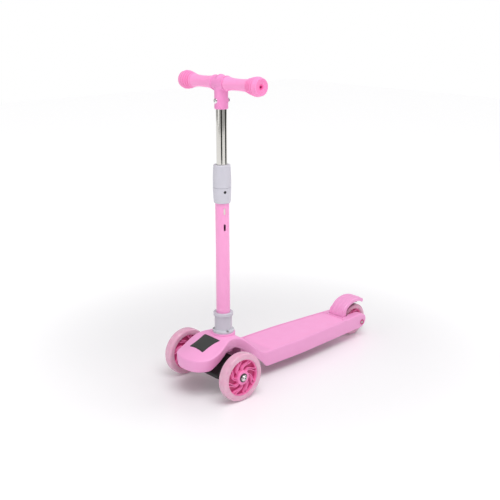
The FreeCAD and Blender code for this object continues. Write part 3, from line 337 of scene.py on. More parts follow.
def vary(tree, shader, light, dark, size_mm, roughness=None):
    """Slow mottling: noise of a given size mixes two close colours, and two roughnesses."""
    place = add(tree, "ShaderNodeTexCoord").outputs["Object"]
    noise = add(tree, "ShaderNodeTexNoise", {"Vector": place, "Scale": 1 / (size_mm * MM), "Detail": 3.0})
    mix = add(tree, "ShaderNodeMix", {"Factor": noise.outputs["Fac"], "A": linear(light), "B": linear(dark)},
              data_type="RGBA")
    tree.links.new(mix.outputs["Result"], shader.inputs["Base Color"])
    if roughness:
        spread = add(tree, "ShaderNodeMapRange", {"Value": noise.outputs["Fac"], "To Min": roughness[0],
                                                  "To Max": roughness[1]})
        tree.links.new(spread.outputs["Result"], shader.inputs["Roughness"])
    return place


def grain(tree, shader, place, size_mm, height_mm, kind="ShaderNodeTexNoise", strength=1.0):
    """Fine relief: a pattern of a given size, in millimetres, as a bump."""
    pattern = add(tree, kind, {"Vector": place, "Scale": 1 / (size_mm * MM)})
    out = pattern.outputs["Fac"] if "Fac" in pattern.outputs else pattern.outputs["Distance"]
    bump = add(tree, "ShaderNodeBump", {"Height": out, "Distance": height_mm * MM, "Strength": strength})
    tree.links.new(bump.outputs["Normal"], shader.inputs["Normal"])
    return bump


# %% [markdown]
# ## Pink ABS, moulded
# The body is one big injection moulding in pink ABS with a satin skin. Such a skin is never
# quite even: a slow mottling of tone, and a very fine grain from the tool. The grain of a real
# tool, about 0.05 mm, is too fine to show, so it is drawn at 0.8 mm.

# %% Plastics
def moulded_abs(name, light, dark, roughness, grain_mm=0.8, height=0.02, coat=0.0):
    material, tree, shader = finish_of(name, light, sum(roughness) / 2, IOR=1.5,
                                       Coat_Weight=coat, Coat_Roughness=0.15)
    place = vary(tree, shader, light, dark, 35, roughness)
    grain(tree, shader, place, grain_mm, height)
    return material


BODY_PINK = moulded_abs("pink_abs_satin", "#FAACDD", "#F7A3D7", (0.34, 0.42))
TEE_PINK = moulded_abs("pink_nylon_casting", "#F398CF", "#EA8AC4", (0.36, 0.46), height=0.03)
COLLAR_WHITE = moulded_abs("grey_white_abs", "#CFCDD7", "#C7C5CF", (0.3, 0.38))
TRUCK_BLACK = moulded_abs("black_nylon", "#0B0A0B", "#121112", (0.45, 0.6), height=0.05)
NATURAL_NYLON = moulded_abs("natural_nylon", "#E9E6DC", "#E0DCD0", (0.4, 0.5))
BUTTON_BLACK = moulded_abs("black_abs_button", "#080808", "#0D0D0D", (0.3, 0.4))
LAMP_WHITE = moulded_abs("lamp_housing_white", "#F4F1EA", "#E9DCE0", (0.3, 0.4))


# %% [markdown]
# ## Wheel plastics
# The rims are a deeper pink and glossier than the body. The tyres are cast urethane with a
# milky pink tint. A quarter of the light goes through it and the rest scatters, so the edge
# of the rim glows through a little.

# %% Rim and tyre
RIM_PINK = moulded_abs("pink_rim_gloss", "#FF8FC9", "#FC84C1", (0.22, 0.3))
# The disc between the spokes is the rim's own plastic drawn a darker magenta: painted shade for the deep windows
# between the spokes.
RIM_PAINTED_SHADE = moulded_abs("rim_disc_painted_shade", "#CC3F80", "#BE3876", (0.3, 0.4))


def clear_urethane():
    material, tree, shader = finish_of("clear_pink_urethane", "#FFC0DF", 0.16, IOR=1.45,
                                       Transmission_Weight=0.25, Coat_Weight=0.4, Coat_Roughness=0.08)
    place = vary(tree, shader, "#FFDCEC", "#FFA8D2", 14, (0.12, 0.24))
    grain(tree, shader, place, 6.0, 0.25)
    return material


TYRE_CLEAR = clear_urethane()


# %% [markdown]
# ## Metals and paint
# The stem is polished chromed steel, the screws are zinc plated, and the outer tube is painted
# with a glossy powder coat, whose faint orange peel is a bump of about 2 mm.

# %% Metals
def metal(name, colour, roughness, brushed_mm=None):
    material, tree, shader = finish_of(name, colour, roughness, Metallic=1.0)
    place = add(tree, "ShaderNodeTexCoord").outputs["Object"]
    stretch = add(tree, "ShaderNodeMapping", {"Vector": place, "Scale": (1, 1, 0.04)})
    source = stretch.outputs["Vector"] if brushed_mm else place
    noise = add(tree, "ShaderNodeTexNoise", {"Vector": source, "Scale": 1 / ((brushed_mm or 12) * MM)})
    spread = add(tree, "ShaderNodeMapRange", {"Value": noise.outputs["Fac"],
                                              "To Min": roughness * 0.7, "To Max": roughness * 1.4})
    tree.links.new(spread.outputs["Result"], shader.inputs["Roughness"])
    return material


CHROME = metal("chromed_steel_tube", "#D9D7D2", 0.09, brushed_mm=1.5)
BRIGHT = metal("polished_bolt_steel", "#DCDCDC", 0.14)
ZINC = metal("zinc_plated_steel", "#B4B4B2", 0.3)
SPRING = metal("spring_steel", "#6E6C6A", 0.35)


def powder_coat():
    material, tree, shader = finish_of("pink_powder_coat", "#F9A3D6", 0.3, IOR=1.5,
                                       Coat_Weight=0.5, Coat_Roughness=0.1)
    place = vary(tree, shader, "#F9A3D6", "#F69BD0", 60, (0.26, 0.34))
    grain(tree, shader, place, 2.0, 0.02)
    return material


TUBE_PINK = powder_coat()


# %% [markdown]
# ## Rubber
# The grips are soft thermoplastic rubber: matt, a deeper pink where light falls off, with the
# fine sand grain of a spark-eroded tool. The deck pad is the same family of rubber, firmer.

# %% Rubbers
def soft_rubber(name, light, dark, roughness, grain_mm, height):
    material, tree, shader = finish_of(name, light, sum(roughness) / 2, IOR=1.5,
                                       Sheen_Weight=0.15, Sheen_Roughness=0.4)
    place = vary(tree, shader, light, dark, 25, roughness)
    grain(tree, shader, place, grain_mm, height)
    return material


GRIP_PINK = soft_rubber("pink_grip_rubber", "#FBA0D4", "#F896CD", (0.45, 0.58), 0.7, 0.05)


def shade_grooves(material, colour):
    """Where the mesh's attribute "shade" is 1, in the grooves and the end hole, the colour is
    deeper: little light gets out of a narrow groove in pink rubber."""
    tree = material.node_tree
    shader = tree.nodes["Principled BSDF"]
    before = shader.inputs["Base Color"].links[0].from_socket
    shade = add(tree, "ShaderNodeAttribute", attribute_name="shade")
    mix = add(tree, "ShaderNodeMix", {"Factor": shade.outputs["Fac"], "A": before, "B": linear(colour)},
              data_type="RGBA")
    tree.links.new(mix.outputs["Result"], shader.inputs["Base Color"])


shade_grooves(GRIP_PINK, "#EA4C98")
PAD_PINK = soft_rubber("pink_pad_rubber", "#FFB0E2", "#FCA6DA", (0.5, 0.62), 0.9, 0.04)
BUFFER_BLACK = soft_rubber("black_buffer_rubber", "#141414", "#1B1B1B", (0.6, 0.7), 0.8, 0.04)


# %% [markdown]
# ## Lines of the moulded body
# The body is a height field over its plan, closed down to a skirt. Four lines describe it: the
# plan's half width, the top's height along the middle, the top's height along the edge, and
# the skirt's lower edge. Each is a smooth curve through a few stations measured from an axle
# or the column. A mesh of control points would bend the same way, but lines are easier to
# check against the CAD, which has the same ones.

# %% Lines
def smooth_line(stations):
    """A curve through (x, z) stations: cubic pieces whose slope at each station is the mean of
    the two chords beside it, or level where the chords disagree in sign."""
    at = np.array(sorted(stations), float)
    x, z = at.T
    chord = np.diff(z) / np.diff(x)
    slope = np.concatenate([chord[:1], np.where(chord[:-1] * chord[1:] > 0,
                                                2 * chord[:-1] * chord[1:] / (chord[:-1] + chord[1:] + 1e-12), 0),
                            chord[-1:]])

    def line(query):
        query = np.clip(query, x[0], x[-1])
        i = np.clip(np.searchsorted(x, query) - 1, 0, len(x) - 2)
        wide = x[i + 1] - x[i]
        t = (query - x[i]) / wide
        return (z[i] * (1 + 2 * t) * (1 - t) ** 2 + slope[i] * wide * t * (1 - t) ** 2
                + z[i + 1] * t * t * (3 - 2 * t) + slope[i + 1] * wide * t * t * (t - 1))

    return line


def ease(value, low, high):
    """0 below low, 1 above high, a half cosine wave between."""
    t = np.clip((value - low) / (high - low), 0, 1)
    return (1 - np.cos(np.pi * t)) / 2


DECK_TOP = span("deck_pad", "z")[1] + 0.3
DECK_LOW, BODY_HIGH = span("deck_shell", "z")
SHELL_BACK, TIP = span("deck_shell", "x")
HALF_WIDE = 59.0
NOSE_START = COLUMN_X + 60
DECK_START = COLUMN_X - 94
DECK_END = REAR[0] + 66


def half_width(x):
    """Half of the plan's width: full at the nose's shoulders, pinched before the deck, full
    along the deck, then a straight taper to the fork's end."""
    pinch = 15.5 * (1 - np.cos(2 * np.pi * np.clip((NOSE_START - x) / 120, 0, 1))) / 2
    taper = smooth_line([(SHELL_BACK - 1, 41.5), (REAR[0], 42), (DECK_END, 46.5),
                         (DECK_END + 100, 53.5), (DECK_END + 207, HALF_WIDE), (NOSE_START, HALF_WIDE)])
    return taper(x) - pinch


def middle_height(x):
    """The top along the middle: 101 mm at the tip, 132 over the column, level along the deck."""
    rise = np.clip((TIP - x) / (TIP - COLUMN_X), 0, 1)
    nose = 101 + (BODY_HIGH - 3.2 - 101) * np.sin(np.pi / 2 * rise) ** 1.15
    fall = DECK_TOP + (BODY_HIGH - 3.2 - DECK_TOP) * ease(x, DECK_START, COLUMN_X)
    return np.where(x > COLUMN_X, nose, fall)


def edge_height(x):
    """The top along its edge: lower than the middle over the nose, level with it on the deck."""
    nose = 101 + 28 * ease(-x, -(TIP - 28), -(COLUMN_X + 16))
    crown = 3.2 * ease(x, DECK_START, COLUMN_X)
    return np.where(x > COLUMN_X, nose, middle_height(x) - crown)


def top_height(x, y):
    """Between the two lines the top falls with the 1.6 power of the distance from the middle."""
    share = np.clip(np.abs(y) / np.maximum(nose_width(x), 1), 0, 1)
    return middle_height(x) - (middle_height(x) - edge_height(x)) * share ** 1.6


def nose_width(x):
    """Half width that also covers the nose: a superellipse with exponent 2.4."""
    reach = np.clip((x - NOSE_START) / (TIP - NOSE_START), 0, 1)
    return np.where(x > NOSE_START, HALF_WIDE * (1 - reach ** 2.4) ** (1 / 2.4), half_width(x))


skirt_line = smooth_line([(SHELL_BACK, DECK_LOW), (FRONT_X - 150, DECK_LOW), (FRONT_X - 136, DECK_LOW + 0.5),
                          (FRONT_X - 115, 48), (FRONT_X - 90, 70), (FRONT_X - 62, 91), (COLUMN_X, 103),
                          (FRONT_X - 12, 103), (FRONT_X + 8, 96), (FRONT_X + 30, 83), (FRONT_X + 52, 71),
                          (FRONT_X + 64, 70), (TIP, 70)])
print("deck top", round(DECK_TOP, 2), "belly", round(DECK_LOW, 2), "high", round(BODY_HIGH, 2))


# %% [markdown]
# ## The body shell
# One sheet wraps the belly, the skirt, the rounded shoulder and the top. It is a grid: one way
# goes round the outline from the nose's tip along the left side to the tail and back along the
# right; the other goes from the belly's middle out to the free edge, up the skirt, over the
# shoulder and inwards to the top's middle. A second, smaller sheet is its hollow. Exact
# booleans take the hollow out, and open the rear wheel's slot, the mudguard's pocket, the
# pad's bed, the panel's bed and the axle's recesses. A Solidify modifier would fold over
# itself at the fork's thin round ends.

# %% Body sheet
HOLLOW_END = DECK_END + 9
MIDDLE_Z = (DECK_TOP + DECK_LOW) / 2
SHEET_END = SHELL_BACK - 12


def body_outline():
    """Points of the outline and their inward directions. The nose's angle runs over a right
    angle each side; the rest steps along x."""
    turn = np.linspace(0, np.pi / 2, 44)
    nose_x = NOSE_START + (TIP - NOSE_START) * np.cos(turn) ** (2 / 2.4)
    nose_y = HALF_WIDE * np.sin(turn) ** (2 / 2.4)
    side_x = np.arange(NOSE_START - 2.5, SHEET_END, -2.5)
    half = np.stack([np.concatenate([nose_x, side_x]), np.concatenate([nose_y, half_width(side_x)])], 1)
    loop = np.vstack([half, half[::-1][:-1] * [1, -1]])
    ahead = np.roll(loop, -1, 0) - np.roll(loop, 1, 0)
    ahead /= np.linalg.norm(ahead, axis=1)[:, None]
    inward = np.stack([-ahead[:, 1], ahead[:, 0]], 1)
    tail = loop[:, 0] < REAR[0]
    inward[tail] = np.column_stack([np.zeros(tail.sum()), -np.sign(loop[tail, 1])])
    return loop, inward


SIDE_WALL = 6.2
TOP_WALL = 3.0


def body_sheet(hollow=False):
    """Rings of the same outline points, each a list of (x, y, z):
    belly: a straight line from the middle out, at the lower line's height;
    free edge: a quarter circle of 0.9 mm;
    skirt: share v of the height, drawn in by 3.5 mm times the square of (1 - v);
    shoulder: a quarter circle of 4 mm;
    top: a straight line back to the middle, at the top's height.
    The hollow is the same with plain walls further in, and a flat end before the slot."""
    loop, inward = body_outline()
    if hollow:
        loop = loop + inward * SIDE_WALL
        behind = loop[:, 0] < HOLLOW_END
        for side in (1, -1):
            run = np.flatnonzero(behind & (side * loop[:, 1] > 0))
            share = np.linspace(0, 1, len(run))[::side]
            across = side * (half_width(HOLLOW_END) - SIDE_WALL) * (1 - share)
            loop[run] = np.column_stack([np.full(len(run), HOLLOW_END), across])
    x, y = loop.T
    low = np.full(len(x), -10.0) if hollow else skirt_line(x)
    high = top_height(x, y) - TOP_WALL * hollow
    spine = np.clip(x, HOLLOW_END + 8 if hollow else SHEET_END + 8, NOSE_START)
    shoulder = np.zeros(len(x)) if hollow else np.minimum(4.0, 0.45 * (high - low))
    lip = np.zeros(len(x)) if hollow else np.minimum(0.9, 0.1 * (high - low))
    draw = (0.0 if hollow else 3.5) * np.clip((high - low) / 40, 0, 1)
    rings = []
    for share in np.linspace(0, 1, 12):
        at = np.column_stack([spine + (x - spine) * share, y * share]) + inward * ((draw + lip) * share)[:, None]
        rings.append(np.column_stack([at, low if hollow else skirt_line(at[:, 0])]))
    for turn in np.linspace(0, np.pi / 2, 4)[1:]:
        at = loop + inward * (draw + lip * (1 - np.sin(turn)))[:, None]
        rings.append(np.column_stack([at, low + lip * (1 - np.cos(turn))]))
    start = low + lip
    for share in np.linspace(0, 1, 9)[1:]:
        z = start + (high - shoulder - start) * share
        rings.append(np.column_stack([loop + inward * (draw * (1 - share) ** 2)[:, None], z]))
    for turn in np.linspace(0, np.pi / 2, 9)[1:]:
        at = loop + inward * (shoulder * (1 - np.cos(turn)))[:, None]
        rings.append(np.column_stack([at, high - shoulder + shoulder * np.sin(turn)]))
    over = rings[-1]
    offset = over[:, 2] - top_height(over[:, 0], over[:, 1])
    for share in np.linspace(0, 1, 22)[1:]:
        px = over[:, 0] + (spine - over[:, 0]) * share
        py = over[:, 1] * (1 - share)
        fade = 1.0 if hollow else (1 - share) ** 2
        rings.append(np.column_stack([px, py, top_height(px, py) + offset * fade]))
    return skin(rings)


def tail_cutter():
    """Half a thick ring about the fork's end: everything behind a semicircle whose radius is
    half of the deck's height."""
    radius = (DECK_TOP - DECK_LOW) / 2
    rings = []
    for turn in np.radians(np.linspace(91, 269, 40)):
        at = np.array([(radius, -80), (radius + 40, -80), (radius + 40, 80), (radius, 80)])
        rings.append(np.column_stack([SHELL_BACK + radius + at[:, 0] * math.cos(turn), at[:, 1],
                                      MIDDLE_Z + at[:, 0] * math.sin(turn)]))
    return put_mesh("cutter", *skin([pole(rings[0]), *rings, pole(rings[-1])]))


def pad_outline(extra=0.0):
    """The deck's outline drawn in by 7 mm, between two stations, with corners of 14 mm."""
    back, front = span("deck_pad", "x")
    stations = np.linspace(back - extra, front + extra, 60)
    wide = half_width(stations) - 7 + extra
    corners = [(x, w, 14 if i in (0, 59) else 0) for i, (x, w) in enumerate(zip(stations, wide))]
    corners += [(x, -w, r) for x, w, r in corners[::-1]]
    keep = [c for c in corners if c[2] > 0 or (back + 16 < c[0] < front - 16)]
    return rounded(keep, steps=10)


PANEL_BACK, PANEL_FRONT = span("nose_panel", "x")


def panel_outline(shrink=0.0):
    """Four rounded corners; each long side is pinched by a sine wave of 2.6 mm."""
    share = np.linspace(0, 1, 24)
    x = PANEL_BACK + shrink + (PANEL_FRONT - PANEL_BACK - 2 * shrink) * share
    wide = 29.5 - 4 * share - 2.6 * np.sin(np.pi * share) - shrink
    keep = [(x[i], wide[i], 3.0 if i in (0, 23) else 0) for i in (0, *range(3, 21), 23)]
    return rounded(keep + [(a, -w, r) for a, w, r in keep[::-1]], steps=6)


def over_top(outline, shares, drops):
    """Rings of an outline scaled towards its middle, each laid on the body's top and lowered
    by its drop."""
    middle = outline.mean(0)
    rings = []
    for share, drop in zip(shares, drops):
        at = middle + (outline - middle) * share
        rings.append(np.column_stack([at, top_height(*at.T) - drop]))
    return rings


def bed(outline, depth, reach=40):
    """A cutter whose floor lies a depth below the body's top and whose sides go straight up."""
    return put_mesh("cutter", *skin(over_top(outline, (0, 1, 1, 0.7, 0.35, 0),
                                             (-reach, -reach, depth, depth, depth, depth))))


# %% Body object
def make_body():
    body = put_mesh("body_shell", *body_sheet())
    rear = REAR[0]
    slot = [(rear - 60, -20), (rear + 50, -20), (rear + 50, 20), (rear - 60, 20)]
    pocket = [(rear + 44, -26), (rear + 67, -26), (rear + 67, 26), (rear + 44, 26)]
    recess = [cutter(circle(10, (rear, REAR[2]), 48), *sorted((side * (half_width(rear) - 1.6), side * 60.0)), axis=1)
              for side in (1, -1)]
    return cut(body, put_mesh("cutter", *body_sheet(True)), tail_cutter(), cutter(slot, -50, 150), cutter(pocket, 56, 150),
               cutter(pad_outline(0.25), DECK_TOP - 2.1, DECK_TOP + 20), bed(panel_outline(-0.3), 1.9), *recess)


body = make_body()
body.data.materials.append(BODY_PINK)
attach(body, "frame")
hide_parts("deck_shell")
print("body", len(body.data.polygons), "faces")


# %% [markdown]
# ## What hangs inside the body
# Seen from below and through the arch are the column's boss, the king bolt's boss, the seats
# of the rubber buffers, stiffening ribs and the fork's inner walls. They are plain solids, as
# a moulder would draw them; in one piece, because none of them moves.

# %% Ribs and bosses
def plate(x0, x1, y0, y1, low, high):
    """A closed box whose top and bottom follow heights given as functions of x, on 24 steps."""
    x = np.linspace(x0, x1, 24)
    top = high(x) if callable(high) else np.full(24, high)
    base = low(x) if callable(low) else np.full(24, low)
    ring = np.stack([np.stack([x, np.full(24, y), z], 1)
                     for y, z in ((y0, base), (y1, base), (y1, top), (y0, top))])
    faces = grid_faces(4, 24, True, False)
    ends = np.array([[0, 24, 48, 72], [23, 95, 71, 47]])
    points = ring.reshape(-1, 3)
    return points, [turned_outwards(points, np.vstack([faces, ends]))]


def tilted(points, lean, place):
    """Turn about Y by the lean, so that +Z leans forward, then move."""
    c, s = math.cos(lean), math.sin(lean)
    turn = np.array([[c, 0, s], [0, 1, 0], [-s, 0, c]])
    return points @ turn.T + place


KING_AT = pivot("steer")
KING_LEAN = math.atan2(joints["steer"]["axis"][0], joints["steer"]["axis"][2])
KING_HUB = 13.5


def under_top(gap):
    return lambda x: middle_height(x) - gap


def inner_shapes():
    shapes = []
    front = FRONT_X - 140
    for back in np.arange(front, HOLLOW_END + 3, -58.0):
        shapes.append(plate(back - 2.4, back, -half_width(back) + 3, half_width(back) - 3, 38, DECK_TOP - 2.5))
    for y in (-19.7, 19.7):
        shapes.append(plate(HOLLOW_END - 1, front, y - 1.2, y + 1.2, 38, DECK_TOP - 2.5))
    shapes.append(plate(COLUMN_X - 24, COLUMN_X - 21, -41, 41, 64, 122))
    boss, boss_faces = lathe_arrays(rounded([(17.3, 86, 0), (23, 86, 1), (23, 128, 0), (17.3, 128, 0)]), 64)
    shapes.append((boss + [COLUMN_X, 0, 0], boss_faces))
    king, king_faces = lathe_arrays([(4.1, KING_HUB + 1.5), (13, KING_HUB + 1.5), (14, KING_HUB + 3), (14, 62), (4.1, 62)], 48)
    shapes.append((tilted(king, KING_LEAN, KING_AT), king_faces))
    for side in (-1, 1):
        seat = span("steer_buffer_left", "y")
        base = span("steer_buffer_left", "z")[1]
        cup, cup_faces = lathe_arrays([(0, base), (11, base), (11, 118), (0, 118)], 40, closed=False)
        shapes.append((cup + [FRONT_X, side * sum(seat) / 2, 0], cup_faces))
    for y in (-30.0, -10.0, 10.0, 30.0):
        shapes.append(plate(FRONT_X + 44, TIP - 24, y - 1.1, y + 1.1, 78, lambda x, y=y: top_height(x, y) - 2))
        shapes.append(plate(COLUMN_X - 74, COLUMN_X - 26, y - 1.1, y + 1.1,
                            lambda x: np.maximum(skirt_line(x) + 3, DECK_LOW + 3), under_top(2.5)))
    pedestal, pedestal_faces = lathe_arrays(rounded([(17.6, 122, 0), (28.75, 122, 0), (28.75, BODY_HIGH, 0.8),
                                                     (17.6, BODY_HIGH, 0)]), 96)
    shapes.append((pedestal + [COLUMN_X, 0, 0], pedestal_faces))
    return shapes


points, faces = joined_arrays(*[(p, f if isinstance(f, list) else [f]) for p, f in inner_shapes()])
insides = put_mesh("body_insides", points, faces)
insides.data.materials.append(BODY_PINK)
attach(insides, "frame")
print("insides", len(insides.data.polygons), "faces")


# %% [markdown]
# ## The deck's pad and the nose's panel
# The pad is a sheet of rubber with fine lengthwise ribs, which show as thin lines. They are
# real relief: the pad's height is a wave across y. The panel is a thin dark plate that follows
# the nose, with a narrow lowered border.

# %% Pad
def pad_arrays():
    """Height over the pad's own plan: 0.35 mm ribs with a pitch of 3.2 mm across y, smoothed
    to nothing within 4 mm of the edge."""
    back, front = span("deck_pad", "x")
    u = np.linspace(0, 1, 61)
    v = np.linspace(-1, 1, 385)
    x = back + (front - back) * (1 - np.cos(np.pi * u)) / 2
    wide = half_width(x) - 7
    corner = 14.0
    near = np.minimum(x - back, front - x)
    wide = wide - np.where(near < corner, corner - np.sqrt(np.clip(corner ** 2 - (corner - near) ** 2, 0, None)), 0)
    y = wide[:, None] * v[None]
    edge = np.minimum((1 - np.abs(v))[None] * wide[:, None], near[:, None])
    fade = ease(edge, 1.5, 4.0)
    rib = 0.3 * (0.5 + 0.5 * np.cos(2 * np.pi * y / 3.2)) ** 3 * fade
    round_off = 0.7 * (1 - ease(edge, 0, 0.8))
    top = DECK_TOP - 0.6 + rib - round_off
    xx = np.repeat(x[:, None], len(v), 1)
    upper = np.stack([xx, y, top], 2)
    lower = np.stack([xx, y, np.full_like(top, DECK_TOP - 2.0)], 2)
    points = np.vstack([upper.reshape(-1, 3), lower.reshape(-1, 3)])
    count = upper.shape[0] * upper.shape[1]
    face = grid_faces(*upper.shape[:2])
    rows, columns = upper.shape[:2]
    rim = np.concatenate([np.arange(columns), columns * np.arange(1, rows) + columns - 1,
                          (rows - 1) * columns + np.arange(columns - 2, -1, -1),
                          columns * np.arange(rows - 2, 0, -1)])
    side = np.stack([rim, rim + count, np.roll(rim, -1) + count, np.roll(rim, -1)], 1)
    faces = np.vstack([face[:, ::-1], face + count, side])
    return welded(points, turned_outwards(points, faces))


pad = put_mesh("deck_pad_ribbed", *pad_arrays(), sharp=60)
pad.data.materials.append(PAD_PINK)
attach(pad, "frame")
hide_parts("deck_pad")


# %% Panel
def panel_arrays():
    """Rings of the panel's outline from its hidden foot, over the border, to its middle."""
    outline = panel_outline()
    rings = [np.column_stack([at, top_height(*at.T) - drop]) for at, drop in
             ((outline, 1.8), (outline, 0.2), (panel_outline(0.25), -0.02), (panel_outline(1.7), -0.02),
              (panel_outline(1.9), 0.45), (panel_outline(2.3), 0.45), (panel_outline(2.5), -0.15),
              (panel_outline(2.9), -0.3))]
    rings += over_top(panel_outline(2.9), (0.85, 0.6, 0.3, 0.0), (-0.3, -0.3, -0.3, -0.3))
    return skin(over_top(outline, (0.0, 0.5), (1.8, 1.8)) + rings)


PANEL_GREY = moulded_abs("charcoal_abs_panel", "#3B3C3B", "#353635", (0.45, 0.55), height=0.03)
panel = put_mesh("nose_panel_crowned", *panel_arrays(), sharp=30)
panel.data.materials.append(PANEL_GREY)
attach(panel, "frame")
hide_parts("nose_panel")
print("pad", len(pad.data.polygons), "panel", len(panel.data.polygons), "faces")


# %% [markdown]
# ## Wheels
# Each wheel is a moulded rim with a bright hub, a disc drawn a darker magenta as painted shade for the deep
# windows between the spokes, and eight pairs of S-shaped spokes that stand on both its faces, inside a cast
# tyre. The spokes follow a spiral whose angle eases in and out with the radius, so they leave the hub and meet
# the rim squarely.

# %% Wheel parts
def sweep_ring(path, across, lift, section):
    """A closed section carried along a path: each point is path + across * a + lift * b."""
    a, b = np.asarray(section, float).T
    rings = path[:, None] + across[:, None] * a[None, :, None] + lift[:, None] * b[None, :, None]
    return skin([pole(rings[0]), *rings, pole(rings[-1])])


def spokes(inner, outer, half_wide, web, sweep, turn_sign, thick):
    """Sixteen ribs on each face of the disc, as angle = start + sweep * ease(radius), in pairs
    spaced a quarter of the pairs' pitch apart."""
    radius = np.linspace(inner, outer, 26)
    share = (radius - inner) / (outer - inner)
    shapes = []
    round_top = rounded([(-thick / 2 - 0.35, 0, 0), (thick / 2 + 0.35, 0, 0), (thick / 2, 1, thick * 0.42),
                         (-thick / 2, 1, thick * 0.42)], steps=3)
    height = half_wide - web
    section = round_top * [1, 1]
    section[:, 1] = np.where(section[:, 1] <= 1e-6, 0, height - (1 - section[:, 1]))
    for pair in range(8):
        for offset in (-0.12, 0.12):
            start = 2 * np.pi * (pair + offset) / 8
            angle = start + sweep * (share - 0.16 * np.sin(2 * np.pi * share))
            x = -turn_sign * radius * np.sin(angle)
            z = radius * np.cos(angle)
            path = np.stack([x, np.zeros_like(x), z], 1)
            along = np.gradient(path, axis=0)
            along /= np.linalg.norm(along, axis=1)[:, None]
            for face in (-1, 1):
                lift = np.tile([0.0, face, 0.0], (len(radius), 1))
                across = np.cross(along, lift)
                shapes.append(sweep_ring(path + lift * web, across, lift, section))
    return shapes


def turned_to_y(points, faces):
    points = along_y(points)
    return points, [turned_outwards(points, faces)]


def make_wheel(name, node, middle, body, turn_sign):
    """Rim, disc and tyre round one axle. Radii come from the CAD's rim and tyre."""
    low, high = span(node + "_rim", "z")
    rim = (high - low) / 2
    low, high = span(node + "_tyre", "z")
    tread = (high - low) / 2
    low, high = span(node + "_rim", "y")
    half = (high - low) / 2
    bearing = (span(node + "_bearings", "z")[1] - span(node + "_bearings", "z")[0]) / 2
    window = rim - 1.6
    hub = bearing + 4.2 + 0.06 * rim
    outer_face = half - 0.2
    ring = rounded([(window, -8.6, 0.6), (window, 8.6, 0.6), (rim + 0.4, 9.4, 0.8), (rim + 0.4, 3.5, 0),
                    (rim + 4.6, 3.0, 0.8), (rim + 4.6, -3.0, 0.8), (rim + 0.4, -3.5, 0), (rim + 0.4, -9.4, 0.8)],
                   steps=3)
    hub_outline = rounded([(bearing + 0.05, -outer_face, 0.5), (hub - 1.2, -outer_face, 1.0), (hub, -outer_face + 3, 1.5),
                           (hub, outer_face - 3, 1.5), (hub - 1.2, outer_face, 1.0), (bearing + 0.05, outer_face, 0.5)],
                          steps=4)
    shapes = [turned_to_y(*lathe_arrays(ring, 128)), turned_to_y(*lathe_arrays(hub_outline, 96))]
    shapes += spokes(hub - 0.6, window + 0.5, 8.2, 1.4, math.radians(34), turn_sign, 1.45 * (rim / 45) ** 0.5)
    points, faces = joined_arrays(*shapes)
    bright = put_mesh(name + "_rim_moulding", points + middle, faces)
    bright.data.materials.append(RIM_PINK)
    # The disc's darker magenta is painted shade: the rim's plastic where the windows between the spokes lie in shadow.
    disc = lathe(name + "_rim_disc", [(hub - 0.8, -1.5), (window + 0.7, -1.5), (window + 0.7, 1.5), (hub - 0.8, 1.5)],
                 middle, along_y, 96)
    disc.data.materials.append(RIM_PAINTED_SHADE)
    corner = 7.5
    profile = rounded([(rim + 0.45, -half + 0.9, 0.5), (rim + 3.5, -half, 2), (tread - 0.9, -half, corner),
                       (tread, 0, 60), (tread - 0.9, half, corner), (rim + 3.5, half, 2), (rim + 0.45, half - 0.9, 0.5),
                       (rim + 0.45, 3.55, 0), (rim + 4.65, 3.05, 0.8), (rim + 4.65, -3.05, 0.8), (rim + 0.45, -3.55, 0)],
                      steps=9)
    profile[:, 0] = np.minimum(profile[:, 0], tread)
    tyre = lathe(name + "_tyre_cast", profile, middle, along_y, 160, sharp=60)
    tyre.data.materials.append(TYRE_CLEAR)
    for piece in (bright, disc, tyre):
        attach(piece, body)
    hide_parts(node + "_rim")
    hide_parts(node + "_tyre")
    print(name, "rim", round(rim, 1), "tread", round(tread, 1), "faces", len(bright.data.polygons))


make_wheel("wheel_front_left", "front_left", FRONT_LEFT, "wheel_front_left", 1)
make_wheel("wheel_front_right", "front_right", FRONT_RIGHT, "wheel_front_right", -1)
make_wheel("wheel_rear", "rear", REAR, "wheel_rear", 1)


# %% [markdown]
# ## Axle bolts
# A button-head bolt holds each front wheel: a shank, a flat washer and a domed head with a
# six-sided socket. All three are lathes about the axle; the socket is cut.

# %% Axle bolts
def axle_bolt(node, side):
    low, high = span(node, "y")
    tip, root = (high, low) if side > 0 else (low, high)
    washer = (span(node, "z")[1] - span(node, "z")[0]) / 2
    head = abs(tip) - 4.6
    seat = head - 1.6
    outline = rounded([(0, abs(root), 0), (3.95, abs(root), 0.5), (3.95, seat, 0), (washer, seat, 0.3),
                       (washer, head, 0.3), (6.5, head, 0), (6.3, head + 1.6, 2.0), (4.4, head + 3.9, 2.5),
                       (0, abs(tip), 0)], closed=False, steps=5)
    points, faces = lathe_arrays(outline, 64, closed=False)
    points = along_y(points) * [1, side, 1]
    faces = turned_outwards(points, faces)
    points, lists = welded(points + [FRONT_X, 0, FRONT_LEFT[2]], faces)
    bolt = put_mesh(node + "_button_head", points, lists)
    hexagon = circle(2.5, (FRONT_X, FRONT_LEFT[2]), 6)
    inside, outside = sorted((side * (abs(tip) - 2.4), side * (abs(tip) + 5)))
    cut(bolt, cutter(hexagon, inside, outside, axis=1))
    bolt.data.materials.append(BRIGHT)
    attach(bolt, "truck")
    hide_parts(node)


axle_bolt("front_axle_left", 1)
axle_bolt("front_axle_right", -1)


# %% [markdown]
# ## The truck
# The beam is one black nylon moulding: a broad body on the king bolt that narrows to a round
# arm at each wheel. Its top is highest at the rear, under the arch of the scooter's body. The
# CAD's beam is a plain block with round arms, and this one has its rounded edges. It is a
# grid of sections along y, each a rounded outline in the x-z plane that changes as it goes.

